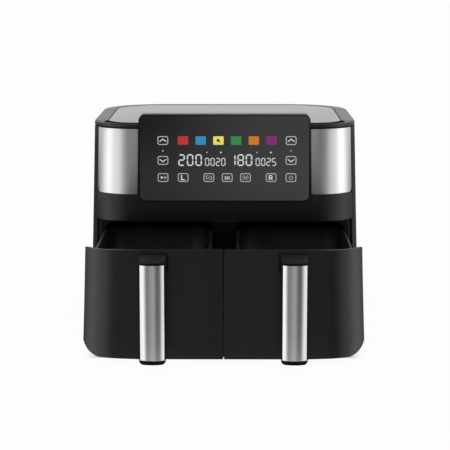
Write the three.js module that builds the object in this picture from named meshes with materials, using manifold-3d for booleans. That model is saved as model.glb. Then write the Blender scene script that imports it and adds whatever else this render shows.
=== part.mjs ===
// Twin-drawer air fryer, millimetres, +Z up, drawers to the -Y side.
// y = 0 is the flat front face of the cabinet and z = 0 is the worktop. The exported group
// is moved so that its origin lies at the bottom centre of the whole object, drawers out.
import * as THREE from 'three';
import { mergeVertices } from 'three/addons/utils/BufferGeometryUtils.js';
import Module from 'manifold-3d';

const wasm = await Module();
wasm.setup();

// ---------------------------------------------------------------- driving dimensions

const FIT = 0.3; // gap between pieces that touch

// Cabinet
const TOP_WIDTH = 369;
const DEPTH = 300;
const RIM_Z = 289;
const FRONT_RADIUS = 60;
const REAR_RADIUS = 87;
const DRAFT = 0.03; // each side widens by this much per millimetre downwards
const SPLIT_Y = 28; // the front pieces end here and the wrap-round shell begins
const SHELL_WALL = 2.6;
const SHELL_Z = 9.3;
const BASE_Z = 6;
const BASE_THICKNESS = 3;

// Upper front
const BAND_Z = 150.6; // lower edge of the black band over the drawers
const STEEL_Z = 189.3;
const RIM_HEIGHT = 7.3;
const STEEL_THICKNESS = 1.2;
const STEEL_CORNER = 7;
const FASCIA_WALL = 3.5;
const CONSOLE_WIDTH = 238;
const CONSOLE_Z = 179.7;
const CONSOLE_TOP_Z = 301.5;
const CONSOLE_PROUD = 5;
const CONSOLE_DEPTH = 24; // how far its hood reaches back over the top rim
const CONSOLE_CORNER = 9;
const GLASS_THICKNESS = 3;
const GLASS_MARGIN = 1.4;
const CONSOLE_BORDER = 8; // width of the frame round the board inside it
const HOOD_ROUND = 10; // rounding of the hood's rear edge
const HOOD_FALL = 0.6;
const BOARD_THICKNESS = 1.6;
const CONTROL_BOARD_WIDTH = 200;
const CONTROL_BOARD_MARGIN = 14;
const DISPLAY_WIDTH = 124;
const DISPLAY_HEIGHT = 40;
const DISPLAY_LOW = 36; // above the lower edge of the console
const POWER_BOARD = { width: 104, depth: 84 };

// Top
const RIM_WIDTH = 19;
const REAR_RIM_WIDTH = 12;
const RIM_ROUND = 2.4;
const PLATE_THICKNESS = 2;

// Drawers
const DRAWER_OPEN = 206;
const DRAWER_Z = 5.4;
const DRAWER_TOP_Z = 147.9;
const DRAWER_BACK_Y = 26.7;
const DRAWER_WALL = 3;
const DRAWER_CORNER = 22;
const SEAM = 1.6;
const PAN_WIDTH = 149;
const PAN_WALL = 1.4;
const PAN_LENGTH = 227;
const PAN_RADIUS = 36;
const PAN_Z = 18;
const PAN_TOP_Z = 136;
const PAN_DRAFT = 0.03;
const PAN_FLANGE = 2.3;
const PAN_FLANGE_THICKNESS = 2;
const BAY_X = 93; // centre of each cooking bay
const CRISPER_Z = 26;
const CRISPER_THICKNESS = 1.6;
const CRISPER_RIM = 5;
const CRISPER_BORDER = 14; // plain border round the holes
const CRISPER_CLEARANCE = 3;
const CRISPER_HOLE_RADIUS = 4.8;
const CRISPER_PITCH = 23;
const BUMPER_RADIUS = 5;
const BUMPER_GROOVE = 1.5;
const BUMPER_INSET = 16; // from the sides of the crisper plate

// Handles
const HANDLE_X = 89.4;
const HANDLE_WIDTH = 33.6;
const HANDLE_REACH = 45;
const HANDLE_BULGE = 5.3; // rise of the curved steel face
const HANDLE_GRIP = 14;
const HANDLE_ROOT_WIDTH = 38;
const HANDLE_CORNER = 5;
const HANDLE_TOE = 4; // rounding of the lower rear edge
const HANDLE_BROW = 5; // rounding of the upper front edge
const HANDLE_Z = 9.1;
const NECK_Z = 121;
const NECK_ROUND = 12;
const TRIM_WIDTH = 31.8;
const TRIM_Z = 13.6;
const TRIM_TOP_Z = 136.3;
const TRIM_THICKNESS = 1.2;
const NECK_FLARE = 6; // where the grip begins to widen towards the drawer
const SCREW_SPREAD = 20;
const SCREW_Z = 132;
const SCREW_RADIUS = 2;
const SCREW_HEAD_RADIUS = 4;
const SCREW_HEAD = 2.6;
const SCREW_LENGTH = 14;

// Cooking bays
const LINER_WIDTH = 161;
const LINER_BACK_Y = 258;
const LINER_WALL = 1.2;
const LINER_RADIUS = 40;
const RAIL_HEIGHT = 4;
const RAIL_GAP = 1; // between the rail and the side of the pan
const LINER_Z = 13;
const LINER_TOP_Z = 149.5;
const FRAME_THICKNESS = 4;
const MOUTH_TOP_Z = 144.5;
const MOUTH_RADIUS = 16;
const MOUTH_FOOT_RADIUS = 3;
const FLARE_WIDTH = 2.7; // how much wider the mouth is at its front face
const FLARE_ROUND = { x: 17, z: 29 }; // half axes of its tall upper corner
const HEAT_Y = 145; // centre of heater and fan
const HEAT_RADIUS = 72;
const CHAMBER_RADIUS = 78;
const CHAMBER_TOP_Z = 196;
const CHAMBER_WALL = 1;
const COIL_RADIUS = 63;
const COIL_INNER_RADIUS = 46;
const COIL_TUBE = 3.2;
const COIL_Z = 163;
const COIL_START = 24; // degrees from the +X side, where the outer turn begins
const GUARD_THICKNESS = 2;
const GUARD_RING_WIDTH = 6;
const GUARD_WIRE = 2.4;
const GUARD_INNER_RADIUS = 44;
const GUARD_HUB_RADIUS = 12;
const FAN_RADIUS = 54;
const FAN_Z = 173;
const FAN_BLADES = 7;
const FAN_HEIGHT = 13;
const FAN_HUB_RADIUS = 9;
const BLADE_THICKNESS = 1.4;
const BLADE_LEAN = 0.35; // radians
const DISC_THICKNESS = 1.5;
const SHAFT_RADIUS = 3;
const COOLER_RADIUS = 42;
const COOLER_Z = 203;
const COOLER_HEIGHT = 10;
const MOTOR_PLATE_Z = 222;
const MOTOR_RADIUS = 31;
const MOTOR_HEIGHT = 36;
const MOTOR_NOSE_RADIUS = 11; // the lower bearing, which fits through the bridge
const MOTOR_CAP_RADIUS = 9;
const SHAFT_TOP_Z = MOTOR_PLATE_Z + 10;
const BRIDGE_REACH = 72; // past the axis of each fan, sideways
const BRIDGE_DEPTH = 176;
const BRIDGE_SHEET = 1.5;
const BRIDGE_HOLE_RADIUS = 14;
const LEG_WIDTH = 12;
const POST_RADIUS = 3;
const POST_HEIGHT = 7;
const POST_SPAN = { x: 90, y: 68 };

// Rear and underside
const VENT_WIDTH = 150;
const VENT_Z = 196;
const VENT_HEIGHT = 72;
const VENT_PROUD = 9;
const VENT_SLOTS = 8;
const VENT_BORDER = 8;
const INTAKE_SLOTS = 6; // under each cooking bay
const INTAKE_PITCH = 20;
const INTAKE_SLOT = { length: 70, width: 6 };
const SUPPORT_Y = [60, 225]; // ribs of the base tray that carry the liners
const SUPPORT_LENGTH = 100;
const SUPPORT_WIDTH = 8;
const GLAND_X = 74;
const GLAND_Z = 38;
const GLAND_RADIUS = 9;
const CORD_HOLE_RADIUS = 4;
const FOOT_RADIUS = 10;
const FRONT_FOOT = { x: 158, y: 46 };
const REAR_FOOT = { x: 128, y: 262 };

// ---------------------------------------------------------------- materials

const look = (color, roughness, metalness) => () =>
  new THREE.MeshStandardMaterial({ color, roughness, metalness });
const glossBlack = look(0x101114, 0.22, 0);
const satinBlack = look(0x18191c, 0.45, 0);
const brushedSteel = look(0xb9bbbd, 0.34, 1);
const coatedMetal = look(0x26282b, 0.5, 0.6);
const plainSteel = look(0x9a9c9e, 0.4, 1);
const darkGlass = look(0x0b0c0f, 0.08, 0);
const rubber = look(0x1b1b1c, 0.9, 0);
const darkSilicone = look(0x2a2c30, 0.8, 0);
const boardGreen = look(0x1f5a3a, 0.6, 0);
const palePlastic = look(0xd8d6cf, 0.5, 0);

// ---------------------------------------------------------------- solids

function toManifold(geometry) {
  const bare = new THREE.BufferGeometry();
  const source = geometry.index ? geometry.toNonIndexed() : geometry;
  bare.setAttribute('position', source.getAttribute('position').clone());
  const merged = mergeVertices(bare, 1e-4);
  const index = merged.index.array;
  const triangles = [];
  for (let i = 0; i < index.length; i += 3) {
    const [a, b, c] = [index[i], index[i + 1], index[i + 2]];
    if (a !== b && b !== c && c !== a) triangles.push(a, b, c);
  }
  return new wasm.Manifold(new wasm.Mesh({
    numProp: 3,
    vertProperties: new Float32Array(merged.getAttribute('position').array),
    triVerts: new Uint32Array(triangles),
  }));
}

function toGeometry(manifold) {
  const { vertProperties, triVerts } = manifold.getMesh();
  const geometry = new THREE.BufferGeometry();
  geometry.setAttribute('position', new THREE.BufferAttribute(new Float32Array(vertProperties), 3));
  geometry.setIndex(new THREE.BufferAttribute(new Uint32Array(triVerts), 1));
  return geometry;
}

const fold = (operation) => (first, ...others) => toGeometry(
  others.reduce((result, other) => result[operation](toManifold(other)), toManifold(first)));
const join = fold('add');
const cut = fold('subtract');
const common = fold('intersect');

function mirrored(geometry) {
  const flipped = (geometry.index ? geometry.toNonIndexed() : geometry.clone()).scale(-1, 1, 1);
  const position = flipped.getAttribute('position');
  for (let i = 0; i < position.count; i += 3) {
    const [x, y, z] = [position.getX(i), position.getY(i), position.getZ(i)];
    position.setXYZ(i, position.getX(i + 1), position.getY(i + 1), position.getZ(i + 1));
    position.setXYZ(i + 1, x, y, z);
  }
  return flipped;
}

// ---------------------------------------------------------------- outlines

// Rectangle with its own radius at each corner, from the low left one anticlockwise.
function roundedRect(x0, x1, y0, y1, radii) {
  const [a, b, c, d] = Array.isArray(radii) ? radii : [radii, radii, radii, radii];
  const shape = new THREE.Shape();
  const quarter = Math.PI / 2;
  const corner = (x, y, radius, start) => {
    if (radius > 0) shape.absarc(x, y, radius, start, start + quarter, false);
    else shape.lineTo(x, y);
  };
  shape.moveTo(x0 + a, y0);
  shape.lineTo(x1 - b, y0);
  corner(x1 - b, y0 + b, b, -quarter);
  corner(x1 - c, y1 - c, c, 0);
  corner(x0 + d, y1 - d, d, quarter);
  if (a > 0) shape.absarc(x0 + a, y0 + a, a, 2 * quarter, 3 * quarter, false);
  return shape;
}

const circle = (x, y, radius) => new THREE.Shape().absarc(x, y, radius, 0, 2 * Math.PI, false);

// Plan of the cabinet, moved inwards by inset.
const cabinetPlan = (inset, rearInset = inset) => roundedRect(
  inset - TOP_WIDTH / 2, TOP_WIDTH / 2 - inset, inset, DEPTH - rearInset,
  [FRONT_RADIUS - inset, FRONT_RADIUS - inset, REAR_RADIUS - inset, REAR_RADIUS - inset]);

// A plan outline raised from z0 to z1.
const raise = (shape, z0, z1, curveSegments = 5) => new THREE.ExtrudeGeometry(
  shape, { depth: z1 - z0, bevelEnabled: false, curveSegments }).translate(0, 0, z0);

// A front-view outline (x, z) carried from y0 to y1.
const carry = (shape, y0, y1, curveSegments = 6) => new THREE.ExtrudeGeometry(
  shape, { depth: y1 - y0, bevelEnabled: false, curveSegments }).rotateX(Math.PI / 2).translate(0, y1, 0);

// A side-view outline (y, z) carried from x0 to x1.
const span = (shape, x0, x1, curveSegments = 6) => new THREE.ExtrudeGeometry(
  shape, { depth: x1 - x0, bevelEnabled: false, curveSegments })
  .rotateX(Math.PI / 2).rotateZ(Math.PI / 2).translate(x0, 0, 0);

const block = (x0, x1, y0, y1, z0, z1) => new THREE.BoxGeometry(x1 - x0, y1 - y0, z1 - z0)
  .translate((x0 + x1) / 2, (y0 + y1) / 2, (z0 + z1) / 2);

// An upright round piece; profile is a list of [radius, z].
const turn = (profile, x, y, segments = 32) => new THREE.LatheGeometry(
  profile.map(([radius, z]) => new THREE.Vector2(radius, z)), segments)
  .rotateX(Math.PI / 2).translate(x, y, 0);

const rod = (x, y, z0, z1, radius, segments = 16) =>
  turn([[0, z0], [radius, z0], [radius, z1], [0, z1]], x, y, segments);

// The cabinet's sides lean outwards towards its foot.
const widening = (z) => 1 + 2 * DRAFT * (RIM_Z - z) / TOP_WIDTH;

function drafted(geometry) {
  const position = geometry.getAttribute('position');
  for (let i = 0; i < position.count; i += 1) {
    position.setX(i, position.getX(i) * widening(position.getZ(i)));
  }
  return geometry;
}

const cabinetBlock = (inset, z0, z1) => drafted(raise(cabinetPlan(inset), z0, z1));
const FAR = 400; // reaches past the cabinet on every side
const inFrontOf = (y, z0 = 0, z1 = FAR) => block(-FAR, FAR, -FAR, y, z0, z1);
const behind = (y, z0 = 0, z1 = FAR) => block(-FAR, FAR, y, FAR, z0, z1);

// ---------------------------------------------------------------- cabinet

const RIM_LOW_Z = RIM_Z - RIM_HEIGHT;

function bodyShell() {
  const wrap = cut(cabinetBlock(0, SHELL_Z, RIM_LOW_Z - FIT), cabinetBlock(SHELL_WALL, 0, RIM_Z));
  const ventHole = carry(
    roundedRect(-VENT_WIDTH / 2 + VENT_BORDER, VENT_WIDTH / 2 - VENT_BORDER,
      VENT_Z + VENT_BORDER, VENT_Z + VENT_HEIGHT - VENT_BORDER, 4),
    DEPTH - 20, DEPTH + 20, 2);
  const glandHole = carry(circle(GLAND_X, GLAND_Z, GLAND_RADIUS + FIT), DEPTH - 20, DEPTH + 20, 8);
  return cut(wrap, inFrontOf(SPLIT_Y + FIT), ventHole, glandHole);
}

function baseTray() {
  const floor = cabinetBlock(1, BASE_Z, BASE_Z + BASE_THICKNESS);
  const lip = cut(
    cabinetBlock(SHELL_WALL + FIT, BASE_Z + BASE_THICKNESS, LINER_Z - FIT),
    cabinetBlock(SHELL_WALL + 3, 0, RIM_Z));
  const bar = (side, y, length, width, z0, z1) => block(
    side * BAY_X - length / 2, side * BAY_X + length / 2, y - width / 2, y + width / 2, z0, z1);
  const slots = [-1, 1].flatMap((side) => Array.from({ length: INTAKE_SLOTS }, (_, row) => bar(
    side, HEAT_Y + (row - (INTAKE_SLOTS - 1) / 2) * INTAKE_PITCH,
    INTAKE_SLOT.length, INTAKE_SLOT.width, 0, LINER_Z + 20)));
  const supports = [-1, 1].flatMap((side) => SUPPORT_Y.map((y) => bar(
    side, y, SUPPORT_LENGTH, SUPPORT_WIDTH, BASE_Z + BASE_THICKNESS, LINER_Z - FIT)));
  return cut(join(floor, lip, ...supports), inFrontOf(SPLIT_Y + FIT), ...slots);
}

const MOUTH_INNER = BAY_X - LINER_WIDTH / 2 + LINER_WALL;
const MOUTH_OUTER = BAY_X + LINER_WIDTH / 2 - LINER_WALL;

// Front view of a mouth at its front face: wider, with a tall elliptical outer corner.
function flaredMouth() {
  const x1 = MOUTH_OUTER + FLARE_WIDTH;
  const low = LINER_Z + LINER_WALL;
  const top = MOUTH_TOP_Z + 0.8;
  const shape = new THREE.Shape();
  shape.moveTo(MOUTH_INNER, low);
  shape.lineTo(x1, low);
  shape.absellipse(x1 - FLARE_ROUND.x, top - FLARE_ROUND.z, FLARE_ROUND.x, FLARE_ROUND.z,
    0, Math.PI / 2, false, 0);
  shape.absarc(MOUTH_INNER + MOUTH_RADIUS, top - MOUTH_RADIUS, MOUTH_RADIUS,
    Math.PI / 2, Math.PI, false);
  return shape;
}

// The black ring round the two drawer mouths, with the pillar between them.
function mouthFrame() {
  const y0 = SPLIT_Y + FIT;
  const y1 = y0 + FRAME_THICKNESS;
  const plate = common(
    cabinetBlock(SHELL_WALL + FIT, LINER_Z, BAND_Z - FIT),
    block(-FAR, FAR, y0, y1, 0, RIM_Z));
  const opening = roundedRect(MOUTH_INNER, MOUTH_OUTER, LINER_Z + LINER_WALL, MOUTH_TOP_Z,
    [MOUTH_FOOT_RADIUS, MOUTH_FOOT_RADIUS, MOUTH_RADIUS, MOUTH_RADIUS]);
  const mouth = toGeometry(wasm.Manifold.hull(
    [carry(flaredMouth(), y0 - 1, y0 + 0.5), carry(opening, y1, y1 + 1)].map(toManifold)));
  return cut(plate, mouth, mirrored(mouth));
}

// The space for the control board, through the console and the fascia.
const boardWell = (y1) => carry(roundedRect(
  -CONSOLE_WIDTH / 2 + CONSOLE_BORDER, CONSOLE_WIDTH / 2 - CONSOLE_BORDER,
  CONSOLE_Z + CONSOLE_BORDER, RIM_LOW_Z - CONSOLE_BORDER, 6), -30, y1, 2);

function frontFascia() {
  const wall = cut(cabinetBlock(0, BAND_Z, RIM_LOW_Z - FIT), cabinetBlock(FASCIA_WALL, 0, RIM_Z));
  const ledge = cabinetBlock(FASCIA_WALL - 0.5, BAND_Z, BAND_Z + FASCIA_WALL);
  const seat = cut(
    cabinetBlock(-5, STEEL_Z - FIT, RIM_Z),
    cabinetBlock(STEEL_THICKNESS + FIT, 0, RIM_Z + 5),
    block(-CONSOLE_WIDTH / 2, CONSOLE_WIDTH / 2, -10, 60, 0, FAR));
  return cut(join(wall, ledge), behind(SPLIT_Y), seat, boardWell(60));
}

function steelPanel() {
  const sheet = cut(
    cabinetBlock(0, STEEL_Z, RIM_LOW_Z - FIT),
    cabinetBlock(STEEL_THICKNESS, 0, RIM_Z));
  const wrapEdge = TOP_WIDTH / 2 - FRONT_RADIUS
    + Math.sqrt(FRONT_RADIUS ** 2 - (FRONT_RADIUS - SPLIT_Y) ** 2);
  const view = roundedRect(CONSOLE_WIDTH / 2 + FIT, wrapEdge * widening(STEEL_Z),
    STEEL_Z, RIM_LOW_Z - FIT, [0, STEEL_CORNER, 0, 0]);
  return common(sheet, carry(view, -5, SPLIT_Y));
}

function topCover() {
  const depth = RIM_HEIGHT + 10;
  const lid = new THREE.ExtrudeGeometry(cabinetPlan(RIM_ROUND), {
    depth: depth - 2 * RIM_ROUND, curveSegments: 5, bevelSegments: 2,
    bevelSize: RIM_ROUND, bevelThickness: RIM_ROUND,
  }).translate(0, 0, RIM_Z - depth + RIM_ROUND);
  const trimmed = common(drafted(lid), block(-FAR, FAR, -FAR, FAR, RIM_LOW_Z, FAR));
  const plateSeat = raise(
    cabinetPlan(RIM_WIDTH, REAR_RIM_WIDTH), RIM_Z - PLATE_THICKNESS - 2 * FIT, FAR);
  const underside = raise(cabinetPlan(FASCIA_WALL), 0, RIM_Z - PLATE_THICKNESS - 2.4);
  return cut(trimmed, plateSeat, underside);
}

const topPlate = () => raise(
  cabinetPlan(RIM_WIDTH + 0.8, REAR_RIM_WIDTH + 0.8), RIM_Z - PLATE_THICKNESS - FIT, RIM_Z - FIT);

// ---------------------------------------------------------------- control console

const consoleView = (margin) => roundedRect(
  margin - CONSOLE_WIDTH / 2, CONSOLE_WIDTH / 2 - margin, CONSOLE_Z + margin,
  CONSOLE_TOP_Z - margin, CONSOLE_CORNER - margin);

function consoleHousing() {
  const side = new THREE.Shape();
  side.moveTo(-CONSOLE_PROUD, CONSOLE_Z);
  side.lineTo(-FIT, CONSOLE_Z);
  side.lineTo(-FIT, RIM_Z + FIT);
  side.lineTo(CONSOLE_DEPTH, RIM_Z + FIT);
  side.quadraticCurveTo(CONSOLE_DEPTH, CONSOLE_TOP_Z - HOOD_FALL,
    CONSOLE_DEPTH - HOOD_ROUND, CONSOLE_TOP_Z - HOOD_FALL);
  side.lineTo(-CONSOLE_PROUD, CONSOLE_TOP_Z);
  const hood = common(
    span(side, -CONSOLE_WIDTH / 2, CONSOLE_WIDTH / 2, 5),
    carry(consoleView(0), -30, 60));
  const glassSeat = carry(consoleView(GLASS_MARGIN - FIT), -30, GLASS_THICKNESS + FIT - CONSOLE_PROUD);
  return cut(hood, glassSeat, boardWell(10));
}

const consoleGlass = () => carry(
  consoleView(GLASS_MARGIN), -CONSOLE_PROUD, GLASS_THICKNESS - CONSOLE_PROUD);

function controlBoard() {
  const y = GLASS_THICKNESS - CONSOLE_PROUD + 6;
  const displayLow = CONSOLE_Z + DISPLAY_LOW;
  const board = block(-CONTROL_BOARD_WIDTH / 2, CONTROL_BOARD_WIDTH / 2, y, y + BOARD_THICKNESS,
    CONSOLE_Z + CONTROL_BOARD_MARGIN, RIM_LOW_Z - CONTROL_BOARD_MARGIN);
  const display = block(-DISPLAY_WIDTH / 2, DISPLAY_WIDTH / 2, y - 5.5, y + 0.5,
    displayLow, displayLow + DISPLAY_HEIGHT);
  const processor = block(-12, 12, y + 1, y + 4, CONSOLE_Z + 50, CONSOLE_Z + 74);
  const plug = block(60, 82, y + 1, y + 9, CONSOLE_Z + 30, CONSOLE_Z + 40);
  return join(board, display, processor, plug);
}

// ---------------------------------------------------------------- cooking bays

// Deep-drawn steel box, open to the front, with a pressed rail along each side.
function liner() {
  const x0 = BAY_X - LINER_WIDTH / 2;
  const x1 = BAY_X + LINER_WIDTH / 2;
  const y0 = SPLIT_Y + 2 * FIT + FRAME_THICKNESS;
  const radii = [0, 0, LINER_RADIUS, LINER_RADIUS];
  const outer = raise(roundedRect(x0, x1, y0, LINER_BACK_Y, radii), LINER_Z, LINER_TOP_Z);
  const inner = raise(roundedRect(
    x0 + LINER_WALL, x1 - LINER_WALL, y0 - 10, LINER_BACK_Y - LINER_WALL,
    [0, 0, LINER_RADIUS - LINER_WALL, LINER_RADIUS - LINER_WALL]),
  LINER_Z + LINER_WALL, LINER_TOP_Z - LINER_WALL);
  const railTop = PAN_TOP_Z - PAN_FLANGE_THICKNESS - FIT;
  const edges = [PAN_WIDTH / 2 + RAIL_GAP, (LINER_WIDTH - LINER_WALL) / 2];
  const rails = [edges, edges.map((x) => -x).reverse()].map(([left, right]) => block(
    BAY_X + left, BAY_X + right,
    y0 + 2, LINER_BACK_Y - LINER_RADIUS, railTop - RAIL_HEIGHT, railTop));
  return join(
    cut(outer, inner, rod(BAY_X, HEAT_Y, LINER_TOP_Z - 5, LINER_TOP_Z + 5, HEAT_RADIUS, 28)),
    ...rails);
}

function heaterChamber() {
  const z = LINER_TOP_Z + 3 * FIT + 2;
  const dish = turn([
    [SHAFT_RADIUS + 3, CHAMBER_TOP_Z - CHAMBER_WALL],
    [CHAMBER_RADIUS - 16, CHAMBER_TOP_Z - CHAMBER_WALL],
    [CHAMBER_RADIUS - 7, CHAMBER_TOP_Z - 10],
    [CHAMBER_RADIUS - 5, z],
    [CHAMBER_RADIUS, z],
    [CHAMBER_RADIUS, z + CHAMBER_WALL],
    [CHAMBER_RADIUS - 4, z + CHAMBER_WALL],
    [CHAMBER_RADIUS - 6, CHAMBER_TOP_Z - 9],
    [CHAMBER_RADIUS - 15, CHAMBER_TOP_Z],
    [SHAFT_RADIUS + 3, CHAMBER_TOP_Z],
    [SHAFT_RADIUS + 3, CHAMBER_TOP_Z - CHAMBER_WALL],
  ], BAY_X, HEAT_Y, 20);
  return cut(dish, ...coilEnds().map(({ x, y }) => rod(x, y, COIL_Z, FAR, COIL_TUBE + 1.5, 8)));
}

// Plan of the element, in degrees and radius: once round outside, a hairpin, and back inside.
const aroundHeater = (degrees, radius) => {
  const angle = THREE.MathUtils.degToRad(degrees);
  return { x: BAY_X + radius * Math.cos(angle), y: HEAT_Y + radius * Math.sin(angle) };
};

const coilEnds = () => [aroundHeater(COIL_START, COIL_RADIUS), aroundHeater(0, COIL_RADIUS)];

// Sheathed element whose two ends turn up through the chamber.
function heaterCoil() {
  const plan = [];
  for (let angle = COIL_START; angle <= 336; angle += 24) plan.push(aroundHeater(angle, COIL_RADIUS));
  for (let angle = 330; angle >= 18; angle -= 26) plan.push(aroundHeater(angle, COIL_INNER_RADIUS));
  plan.push(aroundHeater(3, (COIL_RADIUS + COIL_INNER_RADIUS) / 2), aroundHeater(0, COIL_RADIUS));
  const path = new THREE.CatmullRomCurve3(plan.map(({ x, y }) => new THREE.Vector3(x, y, COIL_Z)));
  const element = new THREE.ExtrudeGeometry(
    circle(0, 0, COIL_TUBE), { steps: 34, extrudePath: path, curveSegments: 3 });
  const leads = coilEnds().map(({ x, y }) => rod(x, y, COIL_Z - 1, CHAMBER_TOP_Z + 6, COIL_TUBE, 6));
  return join(element, ...leads);
}

// Flat guard of rings and spokes between the heater and the food.
function heaterGuard() {
  const z = LINER_TOP_Z + FIT;
  const ring = (radius, width, curveSegments) => {
    const shape = circle(BAY_X, HEAT_Y, radius + width / 2);
    shape.holes.push(circle(BAY_X, HEAT_Y, radius - width / 2));
    return raise(shape, z, z + GUARD_THICKNESS, curveSegments);
  };
  const spokes = [0, 1, 2].map((i) => block(
    -HEAT_RADIUS, HEAT_RADIUS, -GUARD_WIRE / 2, GUARD_WIRE / 2, z, z + GUARD_THICKNESS)
    .rotateZ(i * Math.PI / 3).translate(BAY_X, HEAT_Y, 0));
  const hub = rod(BAY_X, HEAT_Y, z, z + GUARD_THICKNESS, GUARD_HUB_RADIUS, 12);
  return join(
    ring(HEAT_RADIUS + 1, GUARD_RING_WIDTH, 10), ring(GUARD_INNER_RADIUS, GUARD_WIRE, 6), hub, ...spokes);
}

// Impeller: a disc and hub with radial blades hanging from the disc.
function impeller(radius, z, height) {
  const bore = SHAFT_RADIUS + FIT;
  const top = z + height;
  const discRadius = radius * 0.8;
  const rotor = turn([
    [bore, z],
    [FAN_HUB_RADIUS, z],
    [FAN_HUB_RADIUS, top - DISC_THICKNESS],
    [discRadius, top - DISC_THICKNESS],
    [discRadius, top],
    [bore, top],
    [bore, z],
  ], BAY_X, HEAT_Y, 14);
  const blades = Array.from({ length: FAN_BLADES }, (_, i) => block(
    FAN_HUB_RADIUS - 1, radius, -BLADE_THICKNESS / 2, BLADE_THICKNESS / 2, 0, height - 0.8)
    .rotateX(BLADE_LEAN)
    .translate(0, 0, z)
    .rotateZ(i * 2 * Math.PI / FAN_BLADES)
    .translate(BAY_X, HEAT_Y, 0));
  return join(rotor, ...blades);
}

const fanShaft = () => turn([
  [0, FAN_Z - 3], [SHAFT_RADIUS, FAN_Z - 3], [SHAFT_RADIUS, SHAFT_TOP_Z], [0, SHAFT_TOP_Z],
], BAY_X, HEAT_Y, 16);

function fanMotor() {
  const z = MOTOR_PLATE_Z + BRIDGE_SHEET + FIT;
  const bore = SHAFT_RADIUS + 0.5;
  const shoulder = 4;
  return turn([
    [bore, z - shoulder],
    [MOTOR_NOSE_RADIUS, z - shoulder],
    [MOTOR_NOSE_RADIUS, z],
    [MOTOR_RADIUS, z],
    [MOTOR_RADIUS, z + MOTOR_HEIGHT - shoulder],
    [MOTOR_RADIUS - shoulder, z + MOTOR_HEIGHT],
    [MOTOR_CAP_RADIUS, z + MOTOR_HEIGHT],
    [MOTOR_CAP_RADIUS, z + MOTOR_HEIGHT + shoulder],
    [0, z + MOTOR_HEIGHT + shoulder],
    [0, SHAFT_TOP_Z + 2],
    [bore, SHAFT_TOP_Z + 2],
    [bore, z - shoulder],
  ], BAY_X, HEAT_Y, 16);
}

// Folded bridge over both chambers that carries the motors and the power board.
function motorPlate() {
  const x = BAY_X + BRIDGE_REACH;
  const y0 = HEAT_Y - BRIDGE_DEPTH / 2;
  const y1 = HEAT_Y + BRIDGE_DEPTH / 2;
  const z = MOTOR_PLATE_Z;
  const deck = block(-x, x, y0, y1, z, z + BRIDGE_SHEET);
  const inner = BAY_X - BRIDGE_REACH - LEG_WIDTH / 2;
  const legs = [-x, -inner - LEG_WIDTH, inner, x - LEG_WIDTH].flatMap(
    (left) => [y0, y1 - BRIDGE_SHEET].map((y) => block(
      left, left + LEG_WIDTH, y, y + BRIDGE_SHEET, LINER_TOP_Z + FIT, z + 1)));
  const holes = [-1, 1].map((side) => rod(side * BAY_X, HEAT_Y, 0, FAR, BRIDGE_HOLE_RADIUS, 16));
  const posts = [-0.5, 0.5].flatMap((sx) => [-0.5, 0.5].map((sy) => rod(
    sx * POST_SPAN.x, HEAT_Y + sy * POST_SPAN.y, z + 1, z + 1 + POST_HEIGHT, POST_RADIUS, 6)));
  return cut(join(deck, ...legs, ...posts), ...holes);
}

function powerBoard() {
  const z = MOTOR_PLATE_Z + 1 + POST_HEIGHT + FIT;
  const board = block(-POWER_BOARD.width / 2, POWER_BOARD.width / 2,
    HEAT_Y - POWER_BOARD.depth / 2, HEAT_Y + POWER_BOARD.depth / 2, z, z + BOARD_THICKNESS);
  const transformer = block(-40, -14, HEAT_Y - 30, HEAT_Y - 4, z + 1, z + 22);
  const relays = [0, 1].map((i) => block(2 + i * 22, 18 + i * 22, HEAT_Y - 32, HEAT_Y - 12, z + 1, z + 17));
  const capacitor = rod(-28, HEAT_Y + 20, z + 1, z + 26, 8, 12);
  const heatSink = block(2, 40, HEAT_Y + 8, HEAT_Y + 30, z + 1, z + 20);
  const fins = [0, 1, 2, 3].map((i) => block(
    6 + i * 9, 11 + i * 9, HEAT_Y, HEAT_Y + 40, z + 5, z + 30));
  return join(board, transformer, ...relays, capacitor, cut(heatSink, ...fins));
}

// ---------------------------------------------------------------- drawers

// Half width of the cabinet's plan at a distance y behind its front face.
const halfWidthAt = (y) => TOP_WIDTH / 2 - FRONT_RADIUS
  + Math.sqrt(FRONT_RADIUS ** 2 - (FRONT_RADIUS - y) ** 2);

// Front view of the right drawer, moved inwards by inset.
const drawerView = (inset) => roundedRect(
  SEAM / 2 + inset, halfWidthAt(DRAWER_BACK_Y) * widening(DRAWER_Z) - inset,
  DRAWER_Z + inset, DRAWER_TOP_Z - inset, [0, DRAWER_CORNER - inset, 0, 0]);

const drawerSolid = (inset, y0, y1) => common(
  cabinetBlock(inset, DRAWER_Z + inset, DRAWER_TOP_Z - inset), carry(drawerView(inset), y0, y1));

const handleScrewSpots = [-1, 1].map((side) => HANDLE_X + side * SCREW_SPREAD / 2);

// A round piece that lies front to back; profile is a list of [radius, y].
const turnAlongY = (profile, x, z, segments) => new THREE.LatheGeometry(
  profile.map(([radius, y]) => new THREE.Vector2(radius, y)), segments).translate(x, 0, z);

const screwHole = (x) => {
  const radius = SCREW_RADIUS + FIT;
  const y0 = -SCREW_LENGTH;
  const y1 = DRAWER_WALL + 1;
  return turnAlongY([[0, y0], [radius, y0], [radius, y1], [0, y1]], x, SCREW_Z, 10);
};

// Hollow front moulding, open at the back.
const drawerFront = () => cut(
  drawerSolid(0, -5, DRAWER_BACK_Y), drawerSolid(DRAWER_WALL, -5, 60),
  ...handleScrewSpots.map(screwHole));

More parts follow.
